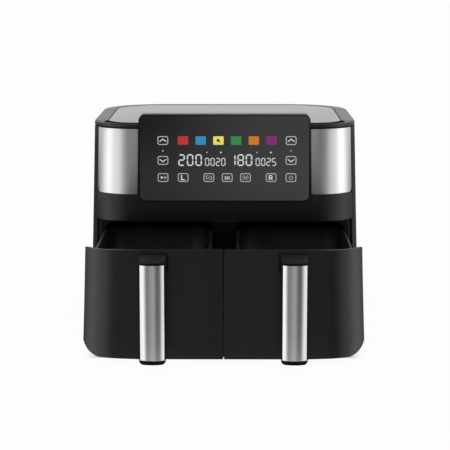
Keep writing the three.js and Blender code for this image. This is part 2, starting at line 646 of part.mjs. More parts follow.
// Pan-head screw from inside the drawer front into the handle.
function handleScrew(x) {
  const seat = DRAWER_WALL + FIT;
  return turnAlongY([
    [0, FIT - SCREW_LENGTH],
    [SCREW_RADIUS, FIT - SCREW_LENGTH],
    [SCREW_RADIUS, seat],
    [SCREW_HEAD_RADIUS, seat],
    [SCREW_HEAD_RADIUS, seat + SCREW_HEAD / 2],
    [SCREW_HEAD_RADIUS - 1, seat + SCREW_HEAD],
    [0, seat + SCREW_HEAD],
  ], x, SCREW_Z, 10);
}

// Closes the back of the front moulding; the pan is fixed to it.
const drawerInnerPanel = () => drawerSolid(
  DRAWER_WALL + FIT, DRAWER_BACK_Y - DRAWER_WALL, DRAWER_BACK_Y);

const PAN_CENTRE_Y = DRAWER_BACK_Y + FIT + PAN_LENGTH / 2;

const panPlan = (inset) => roundedRect(
  -PAN_WIDTH / 2 + inset, PAN_WIDTH / 2 - inset, -PAN_LENGTH / 2 + inset, PAN_LENGTH / 2 - inset,
  PAN_RADIUS - inset);

// The pan narrows towards its floor.
function panDrafted(geometry) {
  const position = geometry.getAttribute('position');
  for (let i = 0; i < position.count; i += 1) {
    const share = 1 - 2 * PAN_DRAFT * (PAN_TOP_Z - position.getZ(i)) / PAN_WIDTH;
    position.setX(i, position.getX(i) * share);
    position.setY(i, position.getY(i) * share);
  }
  return geometry;
}

function pan() {
  const body = panDrafted(raise(panPlan(0), PAN_Z, PAN_TOP_Z, 4));
  const hollow = panDrafted(raise(panPlan(PAN_WALL), PAN_Z + PAN_WALL, PAN_TOP_Z + 5, 4));
  const flange = common(
    raise(panPlan(-PAN_FLANGE), PAN_TOP_Z - PAN_FLANGE_THICKNESS, PAN_TOP_Z, 4),
    block(-FAR, FAR, -PAN_LENGTH / 2, FAR, 0, FAR));
  return cut(join(body, flange), hollow).translate(BAY_X, PAN_CENTRE_Y, 0);
}

const crisperScale = 1 - 2 * PAN_DRAFT * (PAN_TOP_Z - CRISPER_Z) / PAN_WIDTH;
const crisperHalf = {
  x: (PAN_WIDTH / 2 - PAN_WALL) * crisperScale - CRISPER_CLEARANCE,
  y: (PAN_LENGTH / 2 - PAN_WALL) * crisperScale - CRISPER_CLEARANCE,
};

const crisperPlan = (inset) => roundedRect(
  inset - crisperHalf.x, crisperHalf.x - inset, inset - crisperHalf.y, crisperHalf.y - inset,
  PAN_RADIUS - CRISPER_CLEARANCE - inset);

const bumperSpots = [-1, 1].flatMap((sx) => [-1, 1].map((sy) => (
  { x: sx * (crisperHalf.x - BUMPER_INSET), y: sy * (crisperHalf.y - BUMPER_INSET) })));

// Perforated plate with an upturned rim and four holes that hold its bumpers.
function crisperPlate() {
  const plate = raise(crisperPlan(0), CRISPER_Z, CRISPER_Z + CRISPER_THICKNESS, 4);
  const rim = cut(
    raise(crisperPlan(0), CRISPER_Z, CRISPER_Z + CRISPER_RIM, 4),
    raise(crisperPlan(CRISPER_THICKNESS), CRISPER_Z - 1, CRISPER_Z + CRISPER_RIM + 1, 4));
  const bumperHole = BUMPER_RADIUS - BUMPER_GROOVE + 2 * FIT;
  const holes = bumperSpots.map(({ x, y }) => rod(x, y, 0, PAN_TOP_Z, bumperHole, 8));
  const columns = Math.floor((crisperHalf.x - CRISPER_BORDER) / CRISPER_PITCH);
  const rows = Math.floor((crisperHalf.y - CRISPER_BORDER) / CRISPER_PITCH);
  const bumperRoom = BUMPER_RADIUS + CRISPER_HOLE_RADIUS + 3;
  for (let i = -columns; i <= columns; i += 1) {
    for (let j = -rows; j <= rows; j += 1) {
      const x = i * CRISPER_PITCH;
      const y = j * CRISPER_PITCH;
      const nearBumper = bumperSpots.some((spot) => Math.hypot(spot.x - x, spot.y - y) < bumperRoom);
      if (!nearBumper) holes.push(rod(x, y, 0, PAN_TOP_Z, CRISPER_HOLE_RADIUS, 6));
    }
  }
  return cut(join(plate, rim), ...holes).translate(BAY_X, PAN_CENTRE_Y, 0);
}

// Silicone bumper: a grooved plug that stands on the pan's floor.
function bumper({ x, y }) {
  const low = PAN_Z + PAN_WALL + FIT;
  const neck = BUMPER_RADIUS - BUMPER_GROOVE;
  return turn([
    [0, low],
    [BUMPER_RADIUS, low],
    [BUMPER_RADIUS, CRISPER_Z - FIT],
    [neck, CRISPER_Z - FIT],
    [neck, CRISPER_Z + CRISPER_THICKNESS + FIT],
    [BUMPER_RADIUS - 0.5, CRISPER_Z + CRISPER_THICKNESS + FIT],
    [0, CRISPER_Z + CRISPER_THICKNESS + 2.5],
  ], BAY_X + x, PAN_CENTRE_Y + y, 8);
}

// ---------------------------------------------------------------- handles

const BOW_RADIUS = ((HANDLE_WIDTH / 2) ** 2 + HANDLE_BULGE ** 2) / (2 * HANDLE_BULGE);

// Adds the bowed front edge, out to half on both sides and moved back by depth, to an outline.
function bow(shape, half, depth = 0, fromRight = false) {
  const sweep = Math.asin(half / BOW_RADIUS) * (fromRight ? -1 : 1);
  shape.absarc(0, BOW_RADIUS - HANDLE_REACH + depth, BOW_RADIUS,
    -Math.PI / 2 - sweep, -Math.PI / 2 + sweep, fromRight);
}

// A curved sheet between two depths behind the bowed front.
function bowedSheet(half, front, back, z0, z1) {
  const outline = new THREE.Shape();
  bow(outline, half, front);
  bow(outline, half, back, true);
  return raise(outline, z0, z1, 6);
}

// Plan of the grip: a bowed front, then a neck that flares towards the drawer.
function handlePlan() {
  const half = HANDLE_WIDTH / 2;
  const root = HANDLE_ROOT_WIDTH / 2;
  const backY = HANDLE_GRIP - HANDLE_REACH;
  const shape = new THREE.Shape();
  bow(shape, half);
  shape.lineTo(half, backY);
  shape.quadraticCurveTo(half, -NECK_FLARE, root, -FIT);
  shape.lineTo(-root, -FIT);
  shape.quadraticCurveTo(-half, -NECK_FLARE, -half, backY);
  return shape;
}

// Side view: the grip, and the neck that joins its top to the drawer.
function handleSide() {
  const top = DRAWER_TOP_Z - FIT;
  const back = HANDLE_GRIP - HANDLE_REACH;
  const edge = HANDLE_BULGE - HANDLE_REACH;
  const side = new THREE.Shape();
  side.moveTo(-HANDLE_REACH - HANDLE_BROW, HANDLE_Z);
  side.lineTo(back - HANDLE_TOE, HANDLE_Z);
  side.quadraticCurveTo(back, HANDLE_Z, back, HANDLE_Z + HANDLE_TOE);
  side.lineTo(back, NECK_Z - NECK_ROUND);
  side.quadraticCurveTo(back, NECK_Z, back + NECK_ROUND, NECK_Z);
  side.lineTo(-FIT, NECK_Z);
  side.lineTo(-FIT, top);
  side.lineTo(edge + HANDLE_BROW, top);
  side.quadraticCurveTo(-HANDLE_REACH, top, -HANDLE_REACH - HANDLE_BROW, top - HANDLE_BROW);
  return side;
}

function handleCore() {
  const back = HANDLE_GRIP - HANDLE_REACH;
  const half = HANDLE_WIDTH / 2;
  const root = HANDLE_ROOT_WIDTH / 2;
  const top = DRAWER_TOP_Z - FIT;
  const form = common(raise(handlePlan(), HANDLE_Z, top), span(handleSide(), -root, root, 4));
  const grip = common(form, carry(
    roundedRect(-half, half, HANDLE_Z, top, HANDLE_CORNER), -FAR, back, 3));
  const neck = common(form, carry(
    roundedRect(-root, root, 0, top, [0, 0, HANDLE_CORNER, HANDLE_CORNER]), back, 0, 3));
  const recess = bowedSheet(
    TRIM_WIDTH / 2 + FIT, -HANDLE_BULGE, TRIM_THICKNESS + FIT, TRIM_Z - FIT, TRIM_TOP_Z + FIT);
  return cut(
    cut(join(grip, neck), recess).translate(HANDLE_X, 0, 0), ...handleScrewSpots.map(screwHole));
}

const handleTrim = () => bowedSheet(
  TRIM_WIDTH / 2, 0, TRIM_THICKNESS, TRIM_Z, TRIM_TOP_Z).translate(HANDLE_X, 0, 0);

// ---------------------------------------------------------------- rear and feet

function rearVent() {
  const frame = carry(roundedRect(
    -VENT_WIDTH / 2, VENT_WIDTH / 2, VENT_Z, VENT_Z + VENT_HEIGHT, 8), DEPTH + FIT, DEPTH + VENT_PROUD, 4);
  const pitch = (VENT_HEIGHT - 2 * VENT_BORDER) / VENT_SLOTS;
  const slots = [];
  for (let i = 0; i < VENT_SLOTS; i += 1) {
    const z = VENT_Z + VENT_BORDER + (i + 0.5) * pitch;
    slots.push(block(-VENT_WIDTH / 2 + 10, VENT_WIDTH / 2 - 10, -12, 12, -1.9, 1.9)
      .rotateX(-0.35).translate(0, DEPTH + VENT_PROUD / 2, z));
  }
  return cut(frame, ...slots);
}

// Collar that the mains lead passes through.
const cordGland = () => turnAlongY([
  [CORD_HOLE_RADIUS, DEPTH - SHELL_WALL - 3],
  [GLAND_RADIUS, DEPTH - SHELL_WALL - 3],
  [GLAND_RADIUS, DEPTH + FIT],
  [GLAND_RADIUS + 3.5, DEPTH + FIT],
  [GLAND_RADIUS + 2.5, DEPTH + 3],
  [CORD_HOLE_RADIUS + 1, DEPTH + 4],
  [CORD_HOLE_RADIUS, DEPTH + 3],
  [CORD_HOLE_RADIUS, DEPTH - SHELL_WALL - 3],
], GLAND_X, GLAND_Z, 16);

const foot = (x, y) => turn([
  [0, 0], [FOOT_RADIUS - 1.5, 0], [FOOT_RADIUS, 1.2], [FOOT_RADIUS - 1, BASE_Z - FIT], [0, BASE_Z - FIT],
], x, y, 12);

// ---------------------------------------------------------------- assembly

const airFryer = new THREE.Group();
airFryer.name = 'air_fryer';
const cabinet = new THREE.Group();
airFryer.add(cabinet);

function add(group, name, geometry, material) {
  const mesh = new THREE.Mesh(geometry, material());
  mesh.name = name;
  group.add(mesh);
}

function addPair(group, name, geometry, material) {
  add(group, `${name}_right`, geometry, material);
  add(group, `${name}_left`, mirrored(geometry), material);
}

add(cabinet, 'base_tray', baseTray(), satinBlack);
add(cabinet, 'body_shell', bodyShell(), satinBlack);
add(cabinet, 'mouth_frame', mouthFrame(), satinBlack);
add(cabinet, 'front_fascia', frontFascia(), glossBlack);
add(cabinet, 'top_cover', topCover(), satinBlack);
add(cabinet, 'top_plate', topPlate(), brushedSteel);
add(cabinet, 'console_housing', consoleHousing(), satinBlack);
add(cabinet, 'console_glass', consoleGlass(), darkGlass);
add(cabinet, 'control_board', controlBoard(), boardGreen);
add(cabinet, 'power_board', powerBoard(), boardGreen);
add(cabinet, 'motor_plate', motorPlate(), plainSteel);
add(cabinet, 'rear_vent', rearVent(), satinBlack);
add(cabinet, 'cord_gland', cordGland(), satinBlack);
addPair(cabinet, 'steel_panel', steelPanel(), brushedSteel);
addPair(cabinet, 'liner', liner(), coatedMetal);
addPair(cabinet, 'heater_chamber', heaterChamber(), plainSteel);
addPair(cabinet, 'heater_guard', heaterGuard(), plainSteel);
addPair(cabinet, 'heater_coil', heaterCoil(), plainSteel);
addPair(cabinet, 'fan_motor', fanMotor(), plainSteel);
addPair(cabinet, 'front_foot', foot(FRONT_FOOT.x, FRONT_FOOT.y), rubber);
addPair(cabinet, 'rear_foot', foot(REAR_FOOT.x, REAR_FOOT.y), rubber);
addPair(cabinet, 'convection_fan', impeller(FAN_RADIUS, FAN_Z, FAN_HEIGHT), plainSteel);
addPair(cabinet, 'cooling_fan', impeller(COOLER_RADIUS, COOLER_Z, COOLER_HEIGHT), palePlastic);
addPair(cabinet, 'fan_shaft', fanShaft(), plainSteel);

const drawers = new THREE.Group();
drawers.position.y = -DRAWER_OPEN;
airFryer.add(drawers);
addPair(drawers, 'drawer_front', drawerFront(), glossBlack);
addPair(drawers, 'drawer_inner_panel', drawerInnerPanel(), satinBlack);
addPair(drawers, 'pan', pan(), coatedMetal);
addPair(drawers, 'handle_core', handleCore(), satinBlack);
addPair(drawers, 'handle_trim', handleTrim(), brushedSteel);
handleScrewSpots.forEach((x, i) => addPair(drawers, `handle_screw_${i + 1}`, handleScrew(x), plainSteel));
addPair(drawers, 'crisper_plate', crisperPlate(), coatedMetal);
bumperSpots.forEach((spot, i) => addPair(drawers, `crisper_bumper_${i + 1}`, bumper(spot), darkSilicone));

// Bottom centre of the whole object, from the handles' faces to the rear vent.
airFryer.position.y = (DRAWER_OPEN + HANDLE_REACH - DEPTH - VENT_PROUD) / 2;

export default airFryer;
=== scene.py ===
"""Looks of the twin-drawer air fryer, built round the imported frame.

Shapes are worked out in millimetres, with y = 0 on the flat front face of the cabinet (or of a
drawer) and z = 0 on the worktop, and are then moved to where the frame's boxes say.
"""
import math

import bmesh
import bpy
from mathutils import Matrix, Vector


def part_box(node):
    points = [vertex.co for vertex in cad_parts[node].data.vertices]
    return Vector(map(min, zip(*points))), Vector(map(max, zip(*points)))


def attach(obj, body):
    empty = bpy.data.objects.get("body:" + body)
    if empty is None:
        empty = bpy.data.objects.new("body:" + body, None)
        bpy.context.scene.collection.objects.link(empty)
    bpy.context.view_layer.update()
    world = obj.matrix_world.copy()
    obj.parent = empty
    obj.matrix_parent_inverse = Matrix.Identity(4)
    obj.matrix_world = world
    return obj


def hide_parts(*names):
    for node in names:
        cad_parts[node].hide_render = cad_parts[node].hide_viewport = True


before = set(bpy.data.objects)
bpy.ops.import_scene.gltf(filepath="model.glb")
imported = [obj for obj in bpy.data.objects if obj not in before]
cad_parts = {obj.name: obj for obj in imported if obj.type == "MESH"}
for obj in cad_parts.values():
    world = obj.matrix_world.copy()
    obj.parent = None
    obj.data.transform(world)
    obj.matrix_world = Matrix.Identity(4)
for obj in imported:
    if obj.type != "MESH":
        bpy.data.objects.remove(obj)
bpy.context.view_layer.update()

MM = 0.001


def box_mm(node):
    low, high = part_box(node)
    return low / MM, high / MM


def centre_mm(node):
    low, high = box_mm(node)
    return (low + high) / 2


def lowest(node):
    return box_mm(node)[0]


def highest(node):
    return box_mm(node)[1]


# ------------------------------------------------------------------ dimensions

FIT = 0.3  # gap between pieces that fit together
FRONT_RADIUS = 60
REAR_RADIUS = 87
DRAFT = 0.03
FOOT_FLARE = 1.3  # the sides lean out a little more towards the foot
DEPTH = highest("body_shell").y - lowest("front_fascia").y
RIM_Z = highest("top_cover").z
TOP_WIDTH = 369
SPLIT_Y = 30.5  # where the steel panels meet the body shell
SHELL_WALL = 2.6
STEEL_THICKNESS = 1.2
STEEL_CORNER = 7  # radius of its lower rear corner
FASCIA_WALL = 3.5
RIM_LOW_Z = lowest("top_cover").z
STEEL_Z = lowest("steel_panel_right").z
BAND_Z = lowest("front_fascia").z
SHELL_Z = lowest("body_shell").z
VENT_BORDER = 8
GLAND_HOLE = 9.3

CONSOLE_LOW, CONSOLE_HIGH = box_mm("console_housing")
CONSOLE_WIDTH = CONSOLE_HIGH.x - CONSOLE_LOW.x
CONSOLE_Z = CONSOLE_LOW.z
CONSOLE_TOP_Z = CONSOLE_HIGH.z
CONSOLE_PROUD = 5
CONSOLE_DEPTH = 24
CONSOLE_CORNER = 9
HOOD_FALL, HOOD_TAIL = 0.3, 5  # the hood's top rounds off by this much at its rear
GLASS_MARGIN = 1.4
GLASS_THICKNESS = 3

RIM_WIDTH = 19
RIM_NARROWS = 16.2  # along the front the rim is this much narrower, and lower
RIM_SINKS = 1.3
PLATE_FORWARD = 9
SHADOW_GAP = 0.8
REAR_SHIFT = 7  # the rim is this much narrower at the rear
PLATE_Z = highest("top_plate").z
PLATE_SHEET = 2

MOUTH_HALF_WIDTH = 79.3
MOUTH_TOP_Z = 144.5
MOUTH_SILL = 1.2
MOUTH_CORNER, MOUTH_LOW_CORNER = 16, 3
MOUTH_FLARE, MOUTH_RISE = 2.7, 0.8  # at its front each mouth is wider and higher
FLARE_CORNER, FLARE_CORNER_HEIGHT = 17, 29

DRAWER_Z = lowest("drawer_front_right").z
DRAWER_TOP_Z = highest("drawer_front_right").z
DRAWER_BACK_Y = 26.7
DRAWER_WALL = 3
LIP_WIDTH = 4  # of the lip along its upper edge
LIP_DEPTH = 5.5  # from the lip down to the deck behind it
DRAWER_CORNER = 25
DRAWER_LIFT = 1.5  # its lower edge rises slightly towards the corner
SEAM = 1.2  # between the two fronts

PAN_LOW, PAN_HIGH = box_mm("pan_right")
BAY_X = 93
PAN_WIDTH = 149
PAN_LENGTH = 227
PAN_RADIUS = 36
PAN_DRAFT = 0.03
PAN_WALL = 1.4
PAN_FLANGE = 2.3
PAN_BEND = 7  # radius of its floor's edge
PAN_CENTRE_Y = DRAWER_BACK_Y + FIT + PAN_LENGTH / 2

CRISPER_Z = lowest("crisper_plate_right").z
CRISPER_WALL = 1.6
CRISPER_CORNER = 33
CRISPER_HOLE, HOLE_PITCH, HOLE_BORDER = 3.2, 11.5, 9
BUMPER_HOLE, BUMPER_CLEAR = 4.1, 9.5
BUMPERS = (1, 2, 3, 4)

HANDLE_X = 89.4
HANDLE_WIDTH = 33.6
HANDLE_REACH = 45
HANDLE_BULGE = 5.3
HANDLE_GRIP = 14
HANDLE_ROOT_WIDTH = 38
HANDLE_CORNER = 5
HANDLE_Z = lowest("handle_core_right").z
NECK_Z = 121
NECK_TOP_Z = 143.8
BROW_Z = 138.8  # top of the grip, in front of the neck
TRIM_WIDTH = 30.3
TRIM_Z = lowest("handle_trim_right").z + 0.8
TRIM_TOP_Z = highest("handle_trim_right").z
TRIM_THICKNESS = 1.2
BOW_RADIUS = ((HANDLE_WIDTH / 2) ** 2 + HANDLE_BULGE ** 2) / (2 * HANDLE_BULGE)

CABINET_Y = lowest("front_fascia").y
DRAWER_Y = lowest("drawer_front_right").y
SIDES = {"right": 1, "left": -1}


# ------------------------------------------------------------------ meshes

def linked(name, data):
    """A new object in the scene."""
    obj = bpy.data.objects.new(name, data)
    bpy.context.scene.collection.objects.link(obj)
    return obj


def mesh_object(name, points, faces):
    """A mesh object from points in millimetres, its faces turned outwards."""
    mesh = bpy.data.meshes.new(name)
    mesh.from_pydata([Vector(p) * MM for p in points], [], faces)
    bm = bmesh.new()
    bm.from_mesh(mesh)
    bmesh.ops.remove_doubles(bm, verts=bm.verts, dist=1e-7)
    bmesh.ops.recalc_face_normals(bm, faces=bm.faces)
    bm.to_mesh(mesh)
    bm.free()
    return linked(name, mesh)


def bake(obj):
    """Applies the object's modifiers."""
    graph = bpy.context.evaluated_depsgraph_get()
    mesh = bpy.data.meshes.new_from_object(obj.evaluated_get(graph))
    obj.modifiers.clear()
    obj.data = mesh
    return obj


def soften(obj, width, segments=3, angle=35):
    """Rounds the sharp edges by width millimetres and shades the rest smooth."""
    modifier = obj.modifiers.new("bevel", "BEVEL")
    modifier.width = width * MM
    modifier.segments = segments
    modifier.limit_method = "ANGLE"
    modifier.angle_limit = math.radians(angle)
    modifier.use_clamp_overlap = True
    bake(obj)
    return smooth(obj)


def smooth(obj, angle=40):
    for polygon in obj.data.polygons:
        polygon.use_smooth = True
    obj.data.set_sharp_from_angle(angle=math.radians(angle))
    return obj


def boolean(obj, operation, *others):
    """Cuts, joins or intersects obj with the others, which are used up."""
    for other in others:
        modifier = obj.modifiers.new("boolean", "BOOLEAN")
        modifier.operation = operation
        modifier.solver = "EXACT"
        modifier.object = other
        bake(obj)
        bpy.data.objects.remove(other)
    return obj


def shift(obj, x=0, y=0):
    """Moves the mesh itself, by millimetres."""
    for vertex in obj.data.vertices:
        vertex.co.x += x * MM
        vertex.co.y += y * MM
    return obj


def mirrored(obj, name):
    copy = linked(name, obj.data.copy())
    for vertex in copy.data.vertices:
        vertex.co.x = -vertex.co.x
    copy.data.flip_normals()
    return copy


def prism_faces(count, base=0):
    """The ends and sides of a prism with count points to an end, the first of them being base."""
    ends = [[base + i for i in range(count)], [base + count + i for i in range(count)]]
    return ends + [[base + i, base + (i + 1) % count, base + count + (i + 1) % count,
                    base + count + i] for i in range(count)]


def prism(name, outline, low, high, across="z"):
    """An outline raised along z, or carried along y or x."""
    turned = {
        "z": lambda a, b, c: (a, b, c),
        "y": lambda a, b, c: (a, c, b),
        "x": lambda a, b, c: (c, a, b),
    }[across]
    points = [turned(a, b, c) for c in (low, high) for a, b in outline]
    return mesh_object(name, points, prism_faces(len(outline)))


def loft(name, rings, closed_path=False):
    """A skin over rings of equally many points, capped unless its path is closed."""
    count = len(rings[0])
    points = [p for ring in rings for p in ring]
    spans = len(rings) if closed_path else len(rings) - 1
    faces = []
    for k in range(spans):
        a, b = k * count, (k + 1) % len(rings) * count
        faces += [[a + i, a + (i + 1) % count, b + (i + 1) % count, b + i] for i in range(count)]
    if not closed_path:
        faces += [list(range(count)), list(range(len(points) - count, len(points)))]
    return mesh_object(name, points, faces)


def circle(segments):
    """Cosine and sine at even steps round a circle."""
    angles = [2 * math.pi * i / segments for i in range(segments)]
    return [(math.cos(angle), math.sin(angle)) for angle in angles]


def lathe(name, profile, x, y, z=0, segments=48, along="z"):
    """A round piece along z or y from x, y, z; profile is a list of radius, height."""
    turned = circle(segments)
    if along == "z":
        rings = [[(x + r * c, y + r * s, z + height) for c, s in turned] for r, height in profile]
    else:
        rings = [[(x + r * c, y + height, z + r * s) for c, s in turned] for r, height in profile]
    return loft(name, rings)


# ------------------------------------------------------------------ outlines

def arc(cx, cy, rx, ry, start, end, steps):
    """Points on an arc, in degrees."""
    return [(cx + rx * math.cos(math.radians(start + (end - start) * i / steps)),
             cy + ry * math.sin(math.radians(start + (end - start) * i / steps)))
            for i in range(steps + 1)]


def rounded_rect(x0, x1, y0, y1, radii, steps=12):
    """Rectangle with its own radius at each corner, from the low left one anticlockwise."""
    a, b, c, d = radii if isinstance(radii, (list, tuple)) else [radii] * 4
    corners = [
        (x0 + a, y0 + a, a, 180), (x1 - b, y0 + b, b, 270),
        (x1 - c, y1 - c, c, 0), (x0 + d, y1 - d, d, 90)]
    points = []
    for cx, cy, radius, start in corners:
        points += arc(cx, cy, radius, radius, start, start + 90, steps)
    return points


def curve(p0, p1, p2, steps=8):
    """Quadratic curve from p0 to p2, without its first point."""
    points = []
    for i in range(1, steps + 1):
        t = i / steps
        points.append(tuple((1 - t) ** 2 * a + 2 * t * (1 - t) * b + t * t * c
                            for a, b, c in zip(p0, p1, p2)))
    return points


def widening(z):
    """The cabinet's sides lean outwards, a little more so towards its foot."""
    below = max(0, (BAND_Z - z) / BAND_Z)
    return 1 + 2 * (DRAFT * (RIM_Z - z) + FOOT_FLARE * below ** 2) / TOP_WIDTH


def levels(z0, z1, step=20):
    count = max(1, math.ceil((z1 - z0) / step))
    return [z0 + (z1 - z0) * i / count for i in range(count + 1)]


SPLIT_ANGLE = math.degrees(math.asin((FRONT_RADIUS - SPLIT_Y) / FRONT_RADIUS))
FRONT_CENTRE = (TOP_WIDTH / 2 - FRONT_RADIUS, FRONT_RADIUS)
REAR_CENTRE = (TOP_WIDTH / 2 - REAR_RADIUS, DEPTH - REAR_RADIUS)


def stretch(side, front, start, end, steps=20):
    """Part of the cabinet's outline: x, y, outward normal, and 1 at the rear."""
    cx, cy = FRONT_CENTRE if front else REAR_CENTRE
    radius = FRONT_RADIUS if front else REAR_RADIUS
    spots = []
    for i in range(steps + 1):
        angle = math.radians(start + (end - start) * i / steps)
        nx, ny = math.cos(angle), math.sin(angle)
        spots.append((side * cx + radius * nx, cy + radius * ny, nx, ny, 0 if front else 1))
    return spots


def whole_outline():
    return (stretch(1, True, -90, 0) + stretch(1, False, 0, 90, 28)
            + stretch(-1, False, 90, 180, 28) + stretch(-1, True, 180, 270))


def front_outline():
    return stretch(-1, True, 180 + SPLIT_ANGLE, 270) + stretch(1, True, -90, -SPLIT_ANGLE)


def rear_outline():
    return (stretch(1, True, -SPLIT_ANGLE, 0, 10) + stretch(1, False, 0, 90, 28)
            + stretch(-1, False, 90, 180, 28) + stretch(-1, True, 180, 180 + SPLIT_ANGLE, 10))


def inward(spot, inset, z):
    """The point at height z that lies inset inside a spot of the cabinet's outline."""
    x, y, nx, ny, _ = spot
    return (x - nx * inset) * widening(z), y - ny * inset, z


def sweep(name, outline, section, closed=False):
    """Carries a section of (inset, z) along the cabinet's outline."""
    rings = [[inward(spot, inset, z) for inset, z in section] for spot in outline]
    return loft(name, rings, closed_path=closed)


def frontness(ny):
    """0 along the sides and the rear, 1 along the front, with a quick change at the corners."""
    t = min(1, max(0, (-ny - 0.2) / 0.5))
    return t * t * (3 - 2 * t)


def cabinet_block(name, inset, z0, z1):
    """The whole cabinet's form, moved inwards by inset, between two heights."""
    return loft(name, [[inward(spot, inset, z) for spot in whole_outline()]
                       for z in levels(z0, z1)])


# ------------------------------------------------------------------ materials

NOISE_LOW, NOISE_HIGH = 0.3, 0.7  # most of a noise lies between these


class Graph:
    """A node tree and what adds to it. An input's value is a constant or another node's output."""

    def __init__(self, tree):
        self.nodes, self.links = tree.nodes, tree.links

    def feed(self, node, inputs):
        for name, value in inputs.items():
            if isinstance(value, bpy.types.NodeSocket):
                self.links.new(value, node.inputs[name])
            else:
                node.inputs[name].default_value = value

    def add(self, kind, output, inputs, **settings):
        """Adds a node and returns one of its outputs."""
        node = self.nodes.new("ShaderNode" + kind)
        for name, value in settings.items():
            setattr(node, name, value)
        self.feed(node, inputs)
        return node.outputs[output]

    def compute(self, operation, first, second):
        return self.add("Math", 0, {0: first, 1: second}, operation=operation)

    def blend(self, factor, first, second):
        """Mix of two shaders."""
        return self.add("MixShader", "Shader", {"Fac": factor, 1: first, 2: second})

    def seen_rays(self):
        """1 for the rays that show the background: to the camera, in metal and through glass."""
        seen = self.add("LightPath", "Is Camera Ray", {})
        for ray in ("Is Glossy Ray", "Is Transmission Ray"):
            seen = self.compute("MAXIMUM", seen, self.add("LightPath", ray, {}))
        return seen


class Surface(Graph):
    """A new material, whose textures keep to the object."""

    def __init__(self, name):
        self.material = bpy.data.materials.new(name)
        self.material.use_nodes = True
        super().__init__(self.material.node_tree)
        self.shader = self.nodes["Principled BSDF"]
        self.at = self.add("TexCoord", "Object", {})

    def axis(self, name):
        return self.add("SeparateXYZ", name, {"Vector": self.at})

    def noise(self, scale, detail=3, stretch_by=(1, 1, 1)):
        at = self.add("Mapping", "Vector", {"Vector": self.at, "Scale": stretch_by})
        return self.add("TexNoise", "Fac", {"Vector": at, "Scale": scale, "Detail": detail})

    def ranged(self, value, low, high):
        """Maps the middle of a noise to low..high."""
        return self.add("MapRange", "Result", {
            "Value": value, "From Min": NOISE_LOW, "From Max": NOISE_HIGH,
            "To Min": low, "To Max": high})

    def mixed(self, factor, first, second):
        """Mix of two colours, each a triple or an output."""
        a, b = ((*c, 1) if isinstance(c, tuple) else c for c in (first, second))
        return self.add("Mix", "Result", {"Factor": factor, "A": a, "B": b}, data_type="RGBA")

    def tones(self, value, colour, low, high):
        """A colour that varies from low to high times its brightness."""
        dark, light = (tuple(min(1, c * share) for c in colour) for share in (low, high))
        return self.mixed(value, dark, light)

    def finish(self, inputs, relief=None, strength=0.0, depth=0.0):
        """Sets the shader's inputs, and a fine relief whose depth is in millimetres."""
        if relief:
            inputs["Normal"] = self.add("Bump", "Normal", {
                "Height": relief, "Strength": strength, "Distance": depth * MM})
        self.feed(self.shader, inputs)
        return self.material

    def show(self, shader):
        self.feed(self.nodes["Material Output"], {"Surface": shader})


def plastic(name, colour, roughness, level, grain=1400, strength=0.12):
    """Moulded plastic: fine grain, slight unevenness of tone and gloss."""
    surface = Surface(name)
    return surface.finish({
        "Specular IOR Level": level,
        "Base Color": surface.tones(surface.noise(22), colour, 0.82, 1.18),
        "Roughness": surface.ranged(surface.noise(60), roughness * 0.9, roughness * 1.1),
    }, surface.noise(grain, 2), strength, 0.04)


def brushed(name, colour, roughness, lines, anisotropy=0.75):
    """Brushed metal; lines stretches the noise into streaks across its large axis."""
    surface = Surface(name)
    streak = surface.noise(1, 4, lines)
    return surface.finish({
        "Metallic": 1,
        "Anisotropic": anisotropy,
        "Anisotropic Rotation": 0.25,
        "Tangent": surface.add("Tangent", "Tangent", {}, direction_type="RADIAL", axis="Z"),
        "Base Color": surface.tones(streak, colour, 0.96, 1.04),
        "Roughness": surface.ranged(streak, roughness * 0.9, roughness * 1.1),
    }, streak, 0.04, 0.03)


def coating(name, colour, roughness):
    """Dark non-stick coat with a fine sparkle."""
    surface = Surface(name)
    flecks = surface.noise(2600, 1)
    return surface.finish({
        "Specular IOR Level": 0.3,
        "Base Color": surface.tones(flecks, colour, 0.6, 1.5),
        "Roughness": surface.ranged(surface.noise(90), roughness * 0.85, roughness * 1.15),
    }, flecks, 0.15, 0.03)


def pressed(name, colour, roughness, metallic=1.0):
    """Sheet metal as rolled: faint mottling."""
    surface = Surface(name)
    mottle = surface.noise(120, 4)
    return surface.finish({
        "Metallic": metallic,
        "Base Color": surface.tones(mottle, colour, 0.85, 1.1),
        "Roughness": surface.ranged(mottle, roughness * 0.8, roughness * 1.2),
    }, surface.noise(900, 2), 0.08, 0.04)


def printed(name, colour, glow):
    """A lit or printed sign under the glass, a little uneven as backlit film is."""
    surface = Surface(name)
    tone = surface.tones(surface.noise(350), colour, 0.9, 1.08)
    return surface.finish({
        "Roughness": 0.35, "Specular IOR Level": 0.25, "Emission Strength": glow,
        "Base Color": tone, "Emission Color": tone})


def glass_panel(name):
    """Black panel whose base colour pales towards its right and its lower edge: a painted
    reflection across it, and painted light towards its foot against the shade there.
    """
    surface = Surface(name)

    def share(axis, low, high):
        return surface.add("MapRange", "Result", {
            "Value": surface.axis(axis), "From Min": low * MM, "From Max": high * MM,
        }, interpolation_type="SMOOTHSTEP")

    # painted reflection from left to right, and painted light towards the foot
    across = share("X", -CONSOLE_WIDTH * 0.6, CONSOLE_WIDTH * 0.3)
    top = surface.mixed(across, (0.01,) * 3, (0.053,) * 3)
    foot = surface.mixed(across, (0.042,) * 3, (0.083,) * 3)
    return surface.finish({
        "Specular IOR Level": 0.12,
        "Base Color": surface.mixed(share("Z", CONSOLE_TOP_Z, CONSOLE_Z), top, foot),
        "Roughness": surface.ranged(surface.noise(30), 0.3, 0.34),
    }, surface.noise(1200, 2), 0.05, 0.03)


